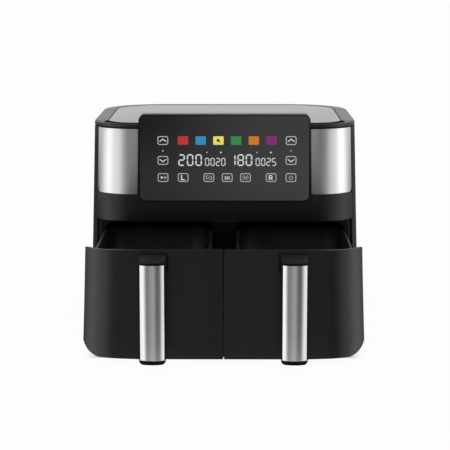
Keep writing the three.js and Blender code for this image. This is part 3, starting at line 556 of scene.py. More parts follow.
SATIN = plastic("satin_black", (0.004, 0.0037, 0.004), 0.42, 0.2)
BODY_BLACK = plastic("body_black", (0.0085, 0.008, 0.0085), 0.5, 0.13)
# near-black for the seal round the top plate, and as painted shade in the gap under the rim
SEAL_AND_SHADE_BLACK = plastic("seal_and_shade_black", (0.002, 0.002, 0.002), 0.6, 0.05)
GRIP_BLACK = plastic("grip_black", (0.0022, 0.0018, 0.002), 0.5, 0.09)
BAND_BLACK = plastic("band_black", (0.006, 0.0055, 0.006), 0.38, 0.29, strength=0.05)
HOOD_BLACK = plastic("hood_black", (0.006, 0.006, 0.006), 0.4, 0.15, strength=0.05)
DRAWER_BLACK = plastic("drawer_black", (0.0045, 0.0013, 0.0028), 0.34, 0.43, strength=0.04)
RIM_BLACK = plastic("rim_black", (0.012, 0.012, 0.012), 0.34, 0.3)
STEEL = brushed("brushed_steel", (0.62, 0.62, 0.625), 0.42, (9, 9, 1500))
HANDLE_STEEL = brushed("handle_steel", (0.68, 0.68, 0.68), 0.2, (12, 12, 1800))
PLATE_STEEL = brushed("plate_steel", (0.38, 0.38, 0.38), 0.4, (7, 1500, 7), 0)
NON_STICK = coating("non_stick", (0.006, 0.006, 0.0065), 0.45)
LINER_STEEL = pressed("liner_coat", (0.02, 0.02, 0.022), 0.5, 0.6)
PLAIN_STEEL = pressed("plain_steel", (0.5, 0.5, 0.51), 0.38)
ALUMINIUM = pressed("aluminium", (0.62, 0.62, 0.63), 0.36)
RUBBER = plastic("rubber", (0.02, 0.02, 0.02), 0.8, 0.3, 900, 0.3)
SILICONE = plastic("silicone", (0.03, 0.03, 0.033), 0.6, 0.4, 700, 0.1)
BOARD = plastic("board_green", (0.02, 0.11, 0.06), 0.45, 0.5, 500, 0.2)
PALE = plastic("pale_plastic", (0.62, 0.61, 0.56), 0.45, 0.5)
GLASS = glass_panel("panel_glass")
KEY_GREY = printed("key_grey", (0.56, 0.56, 0.56), 0.15)
WHITE_LIT = printed("lit_white", (0.78, 0.79, 0.8), 0.2)


# ------------------------------------------------------------------ placing

def place(obj, body, slot, material, *nodes, y=0):
    shift(obj, y=y)
    obj.data.materials.clear()
    obj.data.materials.append(material)
    for polygon in obj.data.polygons:
        polygon.material_index = 0
    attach(obj, body)
    if nodes:
        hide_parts(*nodes)


def on_cabinet(obj, slot, material, *nodes):
    place(obj, "cabinet", slot, material, *nodes, y=CABINET_Y)


def place_pair(obj, name, body, slot, material, node, y=0):
    """Places a piece of the right side and its mirror image."""
    other = mirrored(obj, name + "_left")
    obj.name = name + "_right"
    for side, piece in (("right", obj), ("left", other)):
        place(piece, body.format(side=side), slot, material, f"{node}_{side}", y=y)


def on_drawers(obj, name, slot, material, node):
    place_pair(obj, name, "drawer_{side}", slot, material, node, DRAWER_Y)


# ------------------------------------------------------------------ cabinet

def bead(inset, z, radius, start, end, steps=4):
    """Quarter-round part of a section, about a centre at inset, z."""
    return arc(inset, z, -radius, radius, start, end, steps)


def body_wrap():
    top = RIM_LOW_Z - SHADOW_GAP
    heights = levels(SHELL_Z + 1.2, top - 0.5)
    section = (bead(1.2, heights[0], 1.2, -90, 0) + [(0, z) for z in heights[1:-1]]
               + bead(0.5, heights[-1], 0.5, 0, 90) + [(SHELL_WALL, top)]
               + [(SHELL_WALL, z) for z in heights[-2:0:-1]] + [(SHELL_WALL, SHELL_Z)])
    wrap = sweep("body_wrap", rear_outline(), section)
    reach = 15
    low, high = box_mm("rear_vent")
    vent_hole = prism("vent_hole", rounded_rect(
        low.x + VENT_BORDER, high.x - VENT_BORDER, low.z + VENT_BORDER, high.z - VENT_BORDER, 4, 4),
        DEPTH - reach, DEPTH + reach, "y")
    centre = centre_mm("cord_gland")
    gland_hole = lathe("gland_hole", [(GLAND_HOLE, -reach), (GLAND_HOLE, reach)],
                       centre.x, DEPTH, centre.z, 32, "y")
    boolean(wrap, "DIFFERENCE", vent_hole, gland_hole)
    on_cabinet(soften(wrap, 0.35, 2), "satin_black", BODY_BLACK, "body_shell")


def front_band():
    """Fascia: the black band over the drawers and the recess behind the steel panels."""
    seat = STEEL_THICKNESS + FIT
    ledge = STEEL_Z - FIT
    top = RIM_LOW_Z - FIT
    section = (bead(1.4, BAND_Z + 1.4, 1.4, -90, 0, 5) + bead(0.4, ledge - 0.4, 0.4, 0, 90, 3)
               + [(seat, ledge), (seat, top), (FASCIA_WALL, top), (FASCIA_WALL, BAND_Z + 3.5),
                  (24, BAND_Z + 3.5), (24, BAND_Z)])
    band = sweep("front_band", front_outline(), section)
    on_cabinet(smooth(band, 30), "gloss_black", BAND_BLACK, "front_fascia")


def steel_panels():
    """Thin sheet round each front corner, with a rounded lower rear corner."""
    z1 = RIM_LOW_Z - SHADOW_GAP
    spots = [(CONSOLE_WIDTH / 2 + FIT, 0, 0, -1, 0)] + stretch(1, True, -90, -SPLIT_ANGLE, 60)
    run = [0]
    for (xa, ya, *_), (xb, yb, *_) in zip(spots, spots[1:]):
        run.append(run[-1] + math.hypot(xb - xa, yb - ya))
    rings = []
    for spot, along in zip(spots, run):
        short = max(0, STEEL_CORNER - (run[-1] - along))
        z0 = STEEL_Z + (STEEL_CORNER - math.sqrt(max(0, STEEL_CORNER ** 2 - short ** 2)))
        rings.append([inward(spot, inset, z) for inset, z in (
            (0, z0), (0, z1), (STEEL_THICKNESS, z1), (STEEL_THICKNESS, z0))])
    panel = soften(loft("steel", rings), 0.35, 3)
    place_pair(panel, "steel_wrap", "cabinet", "brushed_steel", STEEL, "steel_panel", CABINET_Y)


def plate_outline(grow=0.0):
    """Plan of the top plate: x, y."""
    outline = []
    for x, y, nx, ny, rear in whole_outline():
        front = max(0, -ny)
        inset = RIM_WIDTH + 1.5 - grow - PLATE_FORWARD * front + 3 * front * abs(nx)
        outline.append((x - nx * inset, y - ny * inset + REAR_SHIFT * rear))
    return outline


def top_ring():
    """Black rim round the steel top plate: wide and flat at the sides, a rounded bead in front."""
    seat_z = PLATE_Z - 2.3
    lip, foot = 0.8, RIM_LOW_Z + SHADOW_GAP
    rings = []
    for x, y, nx, ny, rear in whole_outline():
        front = frontness(ny)
        inner = RIM_WIDTH - RIM_NARROWS * front
        crest = 2.4 - 1.2 * front
        drop = RIM_SINKS * front
        back = REAR_SHIFT * rear
        section = [(0.5, foot, 0), (0, foot + 0.5, 0)]
        section += [(i, z - drop, 0) for i, z in bead(crest, RIM_Z - crest, crest, 0, 90, 8)]
        section += [(i, z - drop, back)
                    for i, z in bead(inner - lip, RIM_Z - lip, lip, 90, 180, 4)]
        section += [(inner, seat_z, back), (RIM_WIDTH + 6, seat_z, back),
                    (RIM_WIDTH + 6, seat_z - 2, back), (FASCIA_WALL, seat_z - 2, 0),
                    (FASCIA_WALL, foot, 0)]
        rings.append([((x - nx * i) * widening(z), y - ny * i + moved, z)
                      for i, z, moved in section])
    ring = loft("top_ring", rings, closed_path=True)
    on_cabinet(smooth(ring, 40), "satin_black", RIM_BLACK, "top_cover")
    # painted shade: a near-black strip set in the gap under the rim, where there is only shade
    low, high = RIM_LOW_Z - SHADOW_GAP + 0.02, foot - 0.02
    strip = sweep("gap_shade_strip", whole_outline(),
                  [(1.2, low), (1.2, high), (1.45, high), (1.45, low)], closed=True)
    on_cabinet(smooth(strip), "satin_black", SEAL_AND_SHADE_BLACK)


def top_sheet():
    """Steel plate and the black seal round its edge."""
    low = PLATE_Z - PLATE_SHEET
    sheet = prism("top_sheet", plate_outline(), low, PLATE_Z)
    on_cabinet(soften(sheet, 0.4, 3), "brushed_steel", PLATE_STEEL, "top_plate")
    seal = loft("plate_seal", [[(x, y, z) for x, y in plate_outline(grow)] for grow, z in (
        (0.15, low), (1.2, low), (1.2, PLATE_Z - 0.6), (0.9, PLATE_Z - 0.3),
        (0.15, PLATE_Z - 0.3))], closed_path=True)
    on_cabinet(smooth(seal), "satin_black", SEAL_AND_SHADE_BLACK)


def console_outline(margin, steps=14):
    half = CONSOLE_WIDTH / 2 - margin
    return rounded_rect(-half, half, CONSOLE_Z + margin, CONSOLE_TOP_Z - margin,
                        CONSOLE_CORNER - margin, steps)


def console():
    """Slab round the touch panel, whose hood reaches back over the rim."""
    rim = RIM_Z + FIT
    side = [(-CONSOLE_PROUD, CONSOLE_Z), (-FIT, CONSOLE_Z), (-FIT, rim), (CONSOLE_DEPTH, rim)]
    side += curve((CONSOLE_DEPTH, rim), (CONSOLE_DEPTH, CONSOLE_TOP_Z - HOOD_FALL),
                  (CONSOLE_DEPTH - HOOD_TAIL, CONSOLE_TOP_Z - HOOD_FALL), 10)
    side += [(-CONSOLE_PROUD, CONSOLE_TOP_Z)]
    hood = prism("console_hood", side, -CONSOLE_WIDTH / 2 - 1, CONSOLE_WIDTH / 2 + 1, "x")
    boolean(hood, "INTERSECT", prism("outline", console_outline(0), -30, 60, "y"))
    boolean(hood, "DIFFERENCE", prism(
        "seat", console_outline(GLASS_MARGIN - FIT), -30, GLASS_THICKNESS + FIT - CONSOLE_PROUD,
        "y"))
    on_cabinet(soften(hood, 0.5, 3, 30), "satin_black", HOOD_BLACK, "console_housing")
    face = prism("console_face", console_outline(GLASS_MARGIN), -CONSOLE_PROUD,
                 GLASS_THICKNESS - CONSOLE_PROUD, "y")
    on_cabinet(soften(face, 0.45, 3), "panel_glass", GLASS, "console_glass")


def mouth_ring():
    """Frame round both mouths, flared to a tall round outer corner at its front."""
    low_box, high_box = box_mm("mouth_frame")
    thickness = high_box.y - low_box.y
    y0 = low_box.y - CABINET_Y
    wall = SHELL_WALL + FIT
    plate = cabinet_block("mouth_ring", wall, low_box.z, high_box.z)
    width = 400
    boolean(plate, "INTERSECT", prism("slab", [
        (-width, y0), (width, y0), (width, y0 + thickness), (-width, y0 + thickness)], 0, RIM_Z))
    inner, outer = BAY_X - MOUTH_HALF_WIDTH, BAY_X + MOUTH_HALF_WIDTH
    bottom, top, high = low_box.z + MOUTH_SILL, MOUTH_TOP_Z, MOUTH_TOP_Z + MOUTH_RISE
    wide, small, large = outer + MOUTH_FLARE, MOUTH_LOW_CORNER, MOUTH_CORNER
    steps = 14
    rear = rounded_rect(inner, outer, bottom, top, [small, small, large, large], steps)
    front = (arc(inner + small, bottom + small, small, small, 180, 270, steps)
             + arc(wide - small, bottom + small, small, small, 270, 360, steps)
             + arc(wide - FLARE_CORNER, high - FLARE_CORNER_HEIGHT, FLARE_CORNER,
                   FLARE_CORNER_HEIGHT, 0, 90, steps)
             + arc(inner + large, high - large, large, large, 90, 180, steps))
    stations = [(y0 - 1, front), (y0 + 0.4, front), (y0 + thickness, rear),
                (y0 + thickness + 1, rear)]
    mouth = loft("mouth", [[(x, y, z) for x, z in outline] for y, outline in stations])
    other = mirrored(mouth, "other_mouth")
    boolean(plate, "DIFFERENCE", mouth, other)
    on_cabinet(soften(plate, 0.5, 3, 30), "satin_black", SATIN, "mouth_frame")


def foot_lathes():
    for place_name in ("front_foot", "rear_foot"):
        low, high = box_mm(f"{place_name}_right")
        centre, radius = (low + high) / 2, (high.x - low.x) / 2
        profile = [(radius - 2.2, 0), (radius - 1.5, 0), (radius - 0.6, 0.35), (radius, 1.2),
                   (radius - 1, high.z - 0.6), (radius - 1.5, high.z)]
        foot = smooth(lathe(place_name, profile, centre.x, centre.y))
        place_pair(foot, place_name + "_pad", "cabinet", "rubber", RUBBER, place_name)


def gland():
    centre = centre_mm("cord_gland")
    back = highest("cord_gland").y - 4
    profile = [(4, back - 5.6), (9, back - 5.6), (9, back + 0.3), (12.2, back + 0.3),
               (12.5, back + 0.6), (12.1, back + 1.8), (11, back + 3), (6, back + 3.9),
               (5, back + 4), (4.3, back + 3.7), (4, back + 3)]
    rings = [[(centre.x + r * c, y, centre.z + r * s) for r, y in profile] for c, s in circle(40)]
    collar = loft("gland_collar", rings, closed_path=True)
    place(smooth(collar, 40), "cabinet", "satin_black", SATIN, "cord_gland")


# ------------------------------------------------------------------ drawers

def half_width(y):
    return TOP_WIDTH / 2 - FRONT_RADIUS + math.sqrt(
        FRONT_RADIUS ** 2 - (FRONT_RADIUS - y) ** 2)


def drawer_solid(name, inset, y0, y1):
    solid = cabinet_block(name, inset, DRAWER_Z + inset, DRAWER_TOP_Z - inset)
    edge = half_width(DRAWER_BACK_Y) * widening(DRAWER_Z) - inset
    low, top, radius = DRAWER_Z + inset, DRAWER_TOP_Z - inset, DRAWER_CORNER - inset
    run = 3 * DRAWER_CORNER
    view = [(SEAM / 2 + inset, low)]
    view += [(edge - run + (run - radius) * i / 8, low) for i in range(8)]
    view += arc(edge - radius, low + radius, radius, radius, -90, 0, 20)
    view = [(x, z + DRAWER_LIFT * (1 - (1 - max(0, (x - edge + run) / run)) ** 2))
            for x, z in view]
    view += [(edge, top), (SEAM / 2 + inset, top)]
    return boolean(solid, "INTERSECT", prism("view", view, y0, y1, "y"))


def drawer_faces():
    """Hollow front with a deck behind its lip, which lies a little lower."""
    face = drawer_solid("drawer_face", 0, -5, DRAWER_BACK_Y)
    deck = DRAWER_TOP_Z - LIP_DEPTH
    hollow = drawer_solid("hollow", DRAWER_WALL, -5, 60)
    ceiling = [(-5, deck - DRAWER_WALL), (60, deck - DRAWER_WALL), (60, 200), (-5, 200)]
    boolean(hollow, "DIFFERENCE", prism("ceiling", ceiling, -10, 200, "x"))
    pit = cabinet_block("pit", LIP_WIDTH, deck, DRAWER_TOP_Z + 5)
    boolean(pit, "INTERSECT", prism("half", [(-1, deck - 1), (300, deck - 1), (300, 200),
                                             (-1, 200)], -5, 60, "y"))
    boolean(face, "DIFFERENCE", hollow, pit)
    soften(face, 1.1, 4, 30)
    on_drawers(face, "drawer_face", "gloss_black", DRAWER_BLACK, "drawer_front")


def pan_ring(inset, z, steps=12):
    """Plan of the pan at a height, flat where it meets the drawer's inner panel."""
    share = 1 - 2 * PAN_DRAFT * (PAN_HIGH.z - z) / PAN_WIDTH
    half_x, half_y = PAN_WIDTH / 2 - inset, PAN_LENGTH / 2 - inset
    radius = max(PAN_RADIUS - inset, 2)
    outline = rounded_rect(-half_x, half_x, -half_y, half_y, radius, steps)
    return [(BAY_X + x * share, PAN_CENTRE_Y + max(y * share, -PAN_LENGTH / 2), z)
            for x, y in outline]


def floor_bend(inset, radius, z):
    """Quarter round between floor and wall, as inset and height."""
    angles = [math.radians(90 * i / 6) for i in range(7)]
    return [(inset + radius * (1 - math.sin(a)), z + radius * (1 - math.cos(a))) for a in angles]


def pans():
    """Deep-drawn basket with a rounded floor edge and a folded rim."""
    low, top = PAN_LOW.z, PAN_HIGH.z
    wall = PAN_WALL
    profile = floor_bend(0, PAN_BEND, low) + [(0, top - 2.2), (-PAN_FLANGE + 0.5, top - 2)]
    for i in range(5):
        angle = math.radians(180 * i / 4 - 90)
        profile.append((-PAN_FLANGE + 0.9 - 0.9 * math.cos(angle), top - 1 + math.sin(angle)))
    profile += [(wall - 0.6, top), (wall, top - 0.6)]
    profile += floor_bend(wall, PAN_BEND - wall, low + wall)[::-1]
    pan = loft("pan", [pan_ring(inset, z) for inset, z in profile])
    on_drawers(smooth(pan, 45), "basket", "coated_metal", NON_STICK, "pan")


def crisper_plates():
    """Perforated plate with an upturned rim; the bumpers' holes are where the frame has them."""
    low, high = box_mm("crisper_plate_right")
    centre = (low + high) / 2
    half_x, half_y = (high.x - low.x) / 2, (high.y - low.y) / 2
    thickness, rim, radius = CRISPER_WALL, high.z - low.z, CRISPER_CORNER

    def outline(inset):
        return rounded_rect(centre.x - half_x + inset, centre.x + half_x - inset,
                            centre.y - half_y + inset, centre.y + half_y - inset,
                            radius - inset, 14)

    rings = [[(x, y, z) for x, y in outline(inset)] for inset, z in (
        (1.2, low.z), (0.3, low.z + 0.4), (0, low.z + 1.3), (0, low.z + rim - 0.5),
        (0.5, low.z + rim), (1.1, low.z + rim), (thickness, low.z + rim - 0.5),
        (thickness, low.z + thickness + 0.8), (thickness + 0.9, low.z + thickness))]
    plate = loft("crisper", rings)
    spots = [centre_mm(f"crisper_bumper_{number}_right") for number in BUMPERS]
    holes = [(spot.x, spot.y, BUMPER_HOLE) for spot in spots]
    columns, rows = (int((half - HOLE_BORDER) // HOLE_PITCH) for half in (half_x, half_y))
    for i in range(-columns, columns + 1):
        for j in range(-rows, rows + 1):
            x, y = centre.x + i * HOLE_PITCH, centre.y + j * HOLE_PITCH
            reach_x = abs(i * HOLE_PITCH) - (half_x - radius)
            reach_y = abs(j * HOLE_PITCH) - (half_y - radius)
            if (reach_x > 0 and reach_y > 0
                    and math.hypot(reach_x, reach_y) > radius - HOLE_BORDER):
                continue
            if all(math.hypot(x - spot.x, y - spot.y) > BUMPER_CLEAR for spot in spots):
                holes.append((x, y, CRISPER_HOLE))
    points, faces = [], []
    turned = circle(14)
    for x, y, hole in holes:
        faces += prism_faces(len(turned), len(points))
        points += [(x + hole * c, y + hole * s, z)
                   for z in (low.z - 2, low.z + 4) for c, s in turned]
    boolean(plate, "DIFFERENCE", mesh_object("drills", points, faces))
    place_pair(smooth(plate, 35), "crisper", "crisper_{side}", "coated_metal", NON_STICK,
               "crisper_plate")


def bumpers():
    for number in BUMPERS:
        node = f"crisper_bumper_{number}"
        low, high = box_mm(f"{node}_right")
        x, y = (low.x + high.x) / 2, (low.y + high.y) / 2
        plate_low, plate_top = CRISPER_Z - FIT, CRISPER_Z + CRISPER_WALL + FIT
        profile = [(4.2, low.z), (5, low.z + 0.8), (5, plate_low - 0.6), (4.5, plate_low),
                   (3.5, plate_low), (3.5, plate_top), (4.6, plate_top), (4.2, plate_top + 0.9),
                   (2.6, high.z - 0.4), (1, high.z)]
        stud = smooth(lathe("stud", profile, x, y, segments=28), 50)
        place_pair(stud, f"bumper_{number}", "crisper_{side}", "silicone", SILICONE, node)


# ------------------------------------------------------------------ handles

def bow(half, depth=0.0, steps=24):
    """The handle's bowed front, from -half to half, moved back by depth."""
    angle = math.degrees(math.asin(half / BOW_RADIUS))
    return arc(0, BOW_RADIUS - HANDLE_REACH + depth, BOW_RADIUS, BOW_RADIUS,
               -90 - angle, -90 + angle, steps)


def handle_cores():
    """Grip with a neck to the drawer's front; its plan, its side and its front cut it out."""
    half, root = HANDLE_WIDTH / 2, HANDLE_ROOT_WIDTH / 2
    back = HANDLE_GRIP - HANDLE_REACH
    top = DRAWER_TOP_Z - FIT
    plan = bow(half) + [(half, back)] + curve((half, back), (half, -6), (root, -FIT), 10)
    plan += [(-root, -FIT)] + curve((-root, -FIT), (-half, -6), (-half, back), 10)
    side = [(-HANDLE_REACH - 5, HANDLE_Z), (back - 4, HANDLE_Z)]
    side += curve((back - 4, HANDLE_Z), (back, HANDLE_Z), (back, HANDLE_Z + 4), 6)
    side += [(back, NECK_Z - 12)]
    side += curve((back, NECK_Z - 12), (back, NECK_Z), (back + 12, NECK_Z), 8)
    side += [(-FIT, NECK_Z), (-FIT, NECK_TOP_Z)]
    side += curve((-FIT, NECK_TOP_Z), (back, NECK_TOP_Z - 2), (-HANDLE_REACH - 5, BROW_Z - 0.6), 12)
    core = prism("grip", plan, HANDLE_Z, top)
    boolean(core, "INTERSECT", prism("side", side, -root - 1, root + 1, "x"))
    radii = [HANDLE_CORNER, HANDLE_CORNER, 3, 3]
    grip_view = rounded_rect(-half, half, HANDLE_Z, BROW_Z + 0.4, radii, 8)
    mid_view = rounded_rect(-half, half, HANDLE_Z, NECK_TOP_Z - 1.6, radii, 8)
    neck_view = rounded_rect(-root, root, 0, NECK_TOP_Z + 0.3, [1, 1, 3, 3], 8)
    front = loft("front", [[(x, y, z) for x, z in view] for y, view in (
        (-80, grip_view), (-HANDLE_REACH + 3, grip_view), (back, mid_view), (back + 6, neck_view),
        (10, neck_view))])
    boolean(core, "INTERSECT", front)
    seat_half = TRIM_WIDTH / 2 + FIT
    seat = bow(seat_half, -HANDLE_BULGE) + bow(seat_half, TRIM_THICKNESS + FIT)[::-1]
    boolean(core, "DIFFERENCE", prism("seat", seat, TRIM_Z - FIT, TRIM_TOP_Z + FIT))
    soften(shift(core, HANDLE_X), 0.5, 3, 30)
    on_drawers(core, "grip", "satin_black", GRIP_BLACK, "handle_core")


def handle_faces():
    outline = bow(TRIM_WIDTH / 2, steps=32) + bow(TRIM_WIDTH / 2, TRIM_THICKNESS, 32)[::-1]
    face = prism("grip_face", outline, TRIM_Z, TRIM_TOP_Z)
    soften(shift(face, HANDLE_X), 0.3, 3)
    on_drawers(face, "grip_face", "brushed_steel", HANDLE_STEEL, "handle_trim")


# ------------------------------------------------------------------ signs on the touch panel

PANEL_Y = -CONSOLE_PROUD - 0.05
SIGN_DEPTH = 0.3
SIGN_X = 3.5  # the signs sit slightly to the right of the panel's middle
KEY_HALF = (7.4, 6.1)
KEY_LINE = 1.15
TOP_ROW_Z = 85.7  # heights above the console's lower edge
DOT_Z = 71.4
COLON_Z = 69.2
ARROW_Z = 58
LOW_ROW_Z = 34
DIGIT_Z = 50.3
LARGE_DIGIT, SMALL_DIGIT = (9.2, 16.3, 1.9), (6, 11.2, 1.3)  # width, height, line
FIRST_LAMP_X, LAMP_PITCH = -61, 24.55
COLUMN_X = 88.9
MIDDLE_KEYS_X = (-25.2, 0.3, 25.7)
SHADES = {
    "red": (0.55, 0.03, 0.03), "blue": (0.03, 0.28, 0.5), "yellow": (0.86, 0.8, 0.12),
    "green": (0.03, 0.27, 0.075), "orange": (0.66, 0.2, 0.02), "purple": (0.24, 0.02, 0.19)}


class Signs:
    """Thin plates that share one material, gathered into one piece."""

    def __init__(self):
        self.points, self.faces, self.lift = [], [], 0

    def plate(self, outline):
        """A filled outline of (x, z)."""
        self.faces += prism_faces(len(outline), len(self.points))
        self.points += [(x + SIGN_X, PANEL_Y - self.lift + d, CONSOLE_Z + z)
                        for d in (0, SIGN_DEPTH) for x, z in outline]

    def bar(self, x0, x1, z0, z1):
        self.plate([(x0, z0), (x1, z0), (x1, z1), (x0, z1)])

    def dot(self, x, z, rx, rz):
        self.plate(arc(x, z, rx, rz, 0, 330, 11))

    def band(self, outer, inner):
        """The ring between two closed outlines of equally many points."""
        count, base = len(outer), len(self.points)
        for d in (0, SIGN_DEPTH):
            for outline in (outer, inner):
                self.points += [(x + SIGN_X, PANEL_Y + d, CONSOLE_Z + z) for x, z in outline]
        a, b, c, d = (base + k * count for k in range(4))
        for i in range(count):
            j = (i + 1) % count
            for p, q in ((a, b), (b, d), (d, c), (c, a)):
                self.faces.append([p + i, p + j, q + j, q + i])

    def stroke(self, path, width):
        """A line of even width through a list of points."""
        left, right = [], []
        for i, (x, z) in enumerate(path):
            x0, z0 = path[max(i - 1, 0)]
            x1, z1 = path[min(i + 1, len(path) - 1)]
            length = math.hypot(x1 - x0, z1 - z0)
            nx, nz = -(z1 - z0) / length, (x1 - x0) / length
            scale = width / 2
            if 0 < i < len(path) - 1:
                step = math.hypot(x1 - x, z1 - z)
                cosine = ((x1 - x) * (x1 - x0) + (z1 - z) * (z1 - z0)) / (step * length)
                scale /= max(cosine, 0.5)
            left.append((x + nx * scale, z + nz * scale))
            right.append((x - nx * scale, z - nz * scale))
        self.plate(left + right[::-1])

    def done(self, name, material):
        piece = mesh_object(name, self.points, self.faces)
        on_cabinet(piece, "panel_glass", material)


def pad(x, z, half_x, half_z, radius, steps):
    """Rounded rectangle about a centre."""
    return rounded_rect(x - half_x, x + half_x, z - half_z, z + half_z, radius, steps)


def key(signs, x, z):
    half_x, half_z = KEY_HALF
    signs.band(pad(x, z, half_x, half_z, 2.9, 6),
               pad(x, z, half_x - KEY_LINE, half_z - KEY_LINE, 1.9, 6))


def ring_sign(signs, x, z, radius, width, start=0, end=360, steps=24):
    outer = arc(x, z, radius, radius, start, end, steps)
    inner = arc(x, z, radius - width, radius - width, start, end, steps)
    signs.plate(outer + inner[::-1])


# Segments of a digit: top, top right, low right, bottom, low left, top left, middle.
SEGMENTS = {"0": "abcdef", "1": "bc", "2": "abged", "5": "afgcd", "8": "abcdefg"}


def digit(signs, sign, x, z, width, height, line):
    """A seven-segment digit whose low left corner is at x, z."""
    gap, half = line * 0.16, line / 2

    def segment(across, start, end, upright):
        """A pointed bar from start to end, centred on across."""
        a, b = start + gap, end - gap
        outline = [(a, across), (a + half, across + half), (b - half, across + half),
                   (b, across), (b - half, across - half), (a + half, across - half)]
        signs.plate([(q, p) for p, q in outline] if upright else outline)

    low, mid, top = z + half, z + height / 2, z + height - half
    left, right = x + half, x + width - half
    places = {
        "a": (top, left, right, False), "b": (right, mid, top, True),
        "c": (right, low, mid, True), "d": (low, left, right, False),
        "e": (left, low, mid, True), "f": (left, mid, top, True), "g": (mid, left, right, False)}
    for letter in SEGMENTS[sign]:
        segment(*places[letter])


def number(signs, text, x, step, size):
    for i, sign in enumerate(text):
        digit(signs, sign, x + i * step, DIGIT_Z, *size)


def key_column(signs, bright, side):
    """Up and down keys with a dot between them."""
    x = side * COLUMN_X
    for z, rise in ((TOP_ROW_Z, 1), (ARROW_Z, -1)):
        key(signs, x, z)
        foot = z - 1.5 * rise
        bright.stroke([(x - 4.5, foot), (x, z + 1.9 * rise), (x + 4.5, foot)], 1.3)
    (bright if side < 0 else signs).dot(x, DOT_Z, 0.8, 1.1)


def low_row(signs, bright):
    """Start and pause, L, three marks, R and power."""
    x, z = -COLUMN_X, LOW_ROW_Z
    key(signs, x, z)
    bright.plate([(x - 3, z - 2.3), (x + 0.6, z), (x - 3, z + 2.3)])
    for offset in (1.7, 3.3):
        signs.bar(x + offset, x + offset + 0.9, z - 2.2, z + 2.2)
    x = COLUMN_X
    key(signs, x, z)
    ring_sign(signs, x, z - 0.2, 2.9, 0.8, 120, 420)
    signs.stroke([(x, z + 0.4), (x, z + 3.2)], 0.8)
    key(signs, -61, z)
    bright.stroke([(-63.2, z + 3.7), (-63.2, z - 3.3)], 1.7)
    bright.stroke([(-64, z - 3), (-58.6, z - 3)], 1.6)
    key(signs, 61.3, z)
    bright.stroke([(58.8, z - 3.6), (58.8, z + 3.6)], 1.6)
    bright.stroke([(58.1, z + 2.7)] + [
        (61 + 1.9 * math.cos(math.radians(a)), z + 1.2 + 1.5 * math.sin(math.radians(a)))
        for a in range(90, -91, -30)] + [(58.8, z - 0.3)], 1.2)
    bright.stroke([(60.4, z - 0.4), (63.4, z - 3.3)], 1.4)
    for x in MIDDLE_KEYS_X:
        key(signs, x, z)
    middle_marks(signs)


def middle_marks(signs):
    """Plain marks on the three middle keys: two sheets, a filled tray, two linked boxes."""
    z = LOW_ROW_Z
    sheets_x, tray_x, boxes_x = MIDDLE_KEYS_X
    x = sheets_x
    signs.stroke([(x - 3.6, z - 2.6), (x - 3.6, z + 2.4), (x - 0.6, z + 2.4)], 0.8)
    signs.stroke([(x + 3.6, z + 2.6), (x + 3.6, z - 2.4), (x + 0.6, z - 2.4)], 0.8)
    signs.stroke([(x - 2, z - 2.4), (x + 2.2, z + 2.2)], 0.9)
    x = tray_x
    signs.bar(x - 3.8, x + 3.8, z - 2.7, z - 1)
    for offset in (-2.6, 0, 2.6):
        signs.dot(x + offset, z + 0.4, 1.1, 1.8)
    x = boxes_x
    for offset in (-2.4, 2.4):
        signs.band(pad(x + offset, z, 1.6, 2.6, 0.5, 3), pad(x + offset, z, 0.9, 1.9, 0.3, 3))
    signs.bar(x - 0.9, x + 0.9, z - 0.4, z + 0.4)


def display():
    """Six coloured keys over two temperatures and two times."""
    grey, white, dark = Signs(), Signs(), Signs()
    for side in (-1, 1):
        key_column(grey, white, side)
    low_row(grey, white)
    number(white, "200", -67.7, 11.9, LARGE_DIGIT)
    number(white, "180", 2.9, 11.5, LARGE_DIGIT)
    number(white, "0020", -30.6, 7.5, SMALL_DIGIT)
    number(white, "0025", 39.7, 7.5, SMALL_DIGIT)
    for x in (-27.9, 41.5):
        grey.dot(x, COLON_Z, 1.1, 0.9)
        white.dot(x + 19.4, COLON_Z, 1.3, 1.1)
    grey.done("key_signs", KEY_GREY)
    white.done("lit_signs", WHITE_LIT)
    for i, (shade, colour) in enumerate(SHADES.items()):
        x = FIRST_LAMP_X + i * LAMP_PITCH
        lamp = Signs()
        lamp.plate(pad(x, TOP_ROW_Z, 7.2, 5.9, 0.9, 4))
        lamp.done(f"key_{shade}", printed(f"key_{shade}", colour, 0.25))
        if shade == "yellow":
            dark.lift = 0.12
            ring_sign(dark, x - 0.4, TOP_ROW_Z + 0.3, 2.1, 1.0)
            dark.stroke([(x + 1, TOP_ROW_Z - 1.1), (x + 3, TOP_ROW_Z - 2.7)], 1)
    dark.done("key_mark", printed("mark_grey", (0.08, 0.08, 0.02), 0.1))


# ------------------------------------------------------------------ kept CAD nodes

def finish_nodes():
    """Materials for the CAD nodes that stay."""
    looks = {
        "base_tray": SATIN, "rear_vent": SATIN, "control_board": BOARD, "power_board": BOARD,
        "motor_plate": PLAIN_STEEL}
    pairs = {
        "liner": LINER_STEEL, "heater_chamber": PLAIN_STEEL, "heater_guard": PLAIN_STEEL,
        "heater_coil": PLAIN_STEEL, "fan_motor": PLAIN_STEEL, "convection_fan": ALUMINIUM,
        "cooling_fan": PALE, "fan_shaft": PLAIN_STEEL, "drawer_inner_panel": SATIN,
        "handle_screw_1": PLAIN_STEEL, "handle_screw_2": PLAIN_STEEL}
    for node, material in pairs.items():
        for side in SIDES:
            looks[f"{node}_{side}"] = material
    for node, material in looks.items():
        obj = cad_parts[node]
        if not obj.material_slots:
            obj.data.materials.append(material)
        for slot in obj.material_slots:
            slot.material = material


# ------------------------------------------------------------------ stage

FLOOR_HALF = 40
SHADE_REACH = 0.3
OPEN_FROM, OPEN_TO = 0.3, 0.48  # from shaded to white, as ambient occlusion sees it
LIT_STRIP = 10  # millimetres behind the drawers' fronts over which the floor turns light
FLOOR_GLOW = 0.955


def staged(name, points, faces, surface):
    mesh = bpy.data.meshes.new(name)
    mesh.from_pydata(points, [], faces)
    mesh.materials.append(surface.material)
    obj = linked(name, mesh)
    return obj


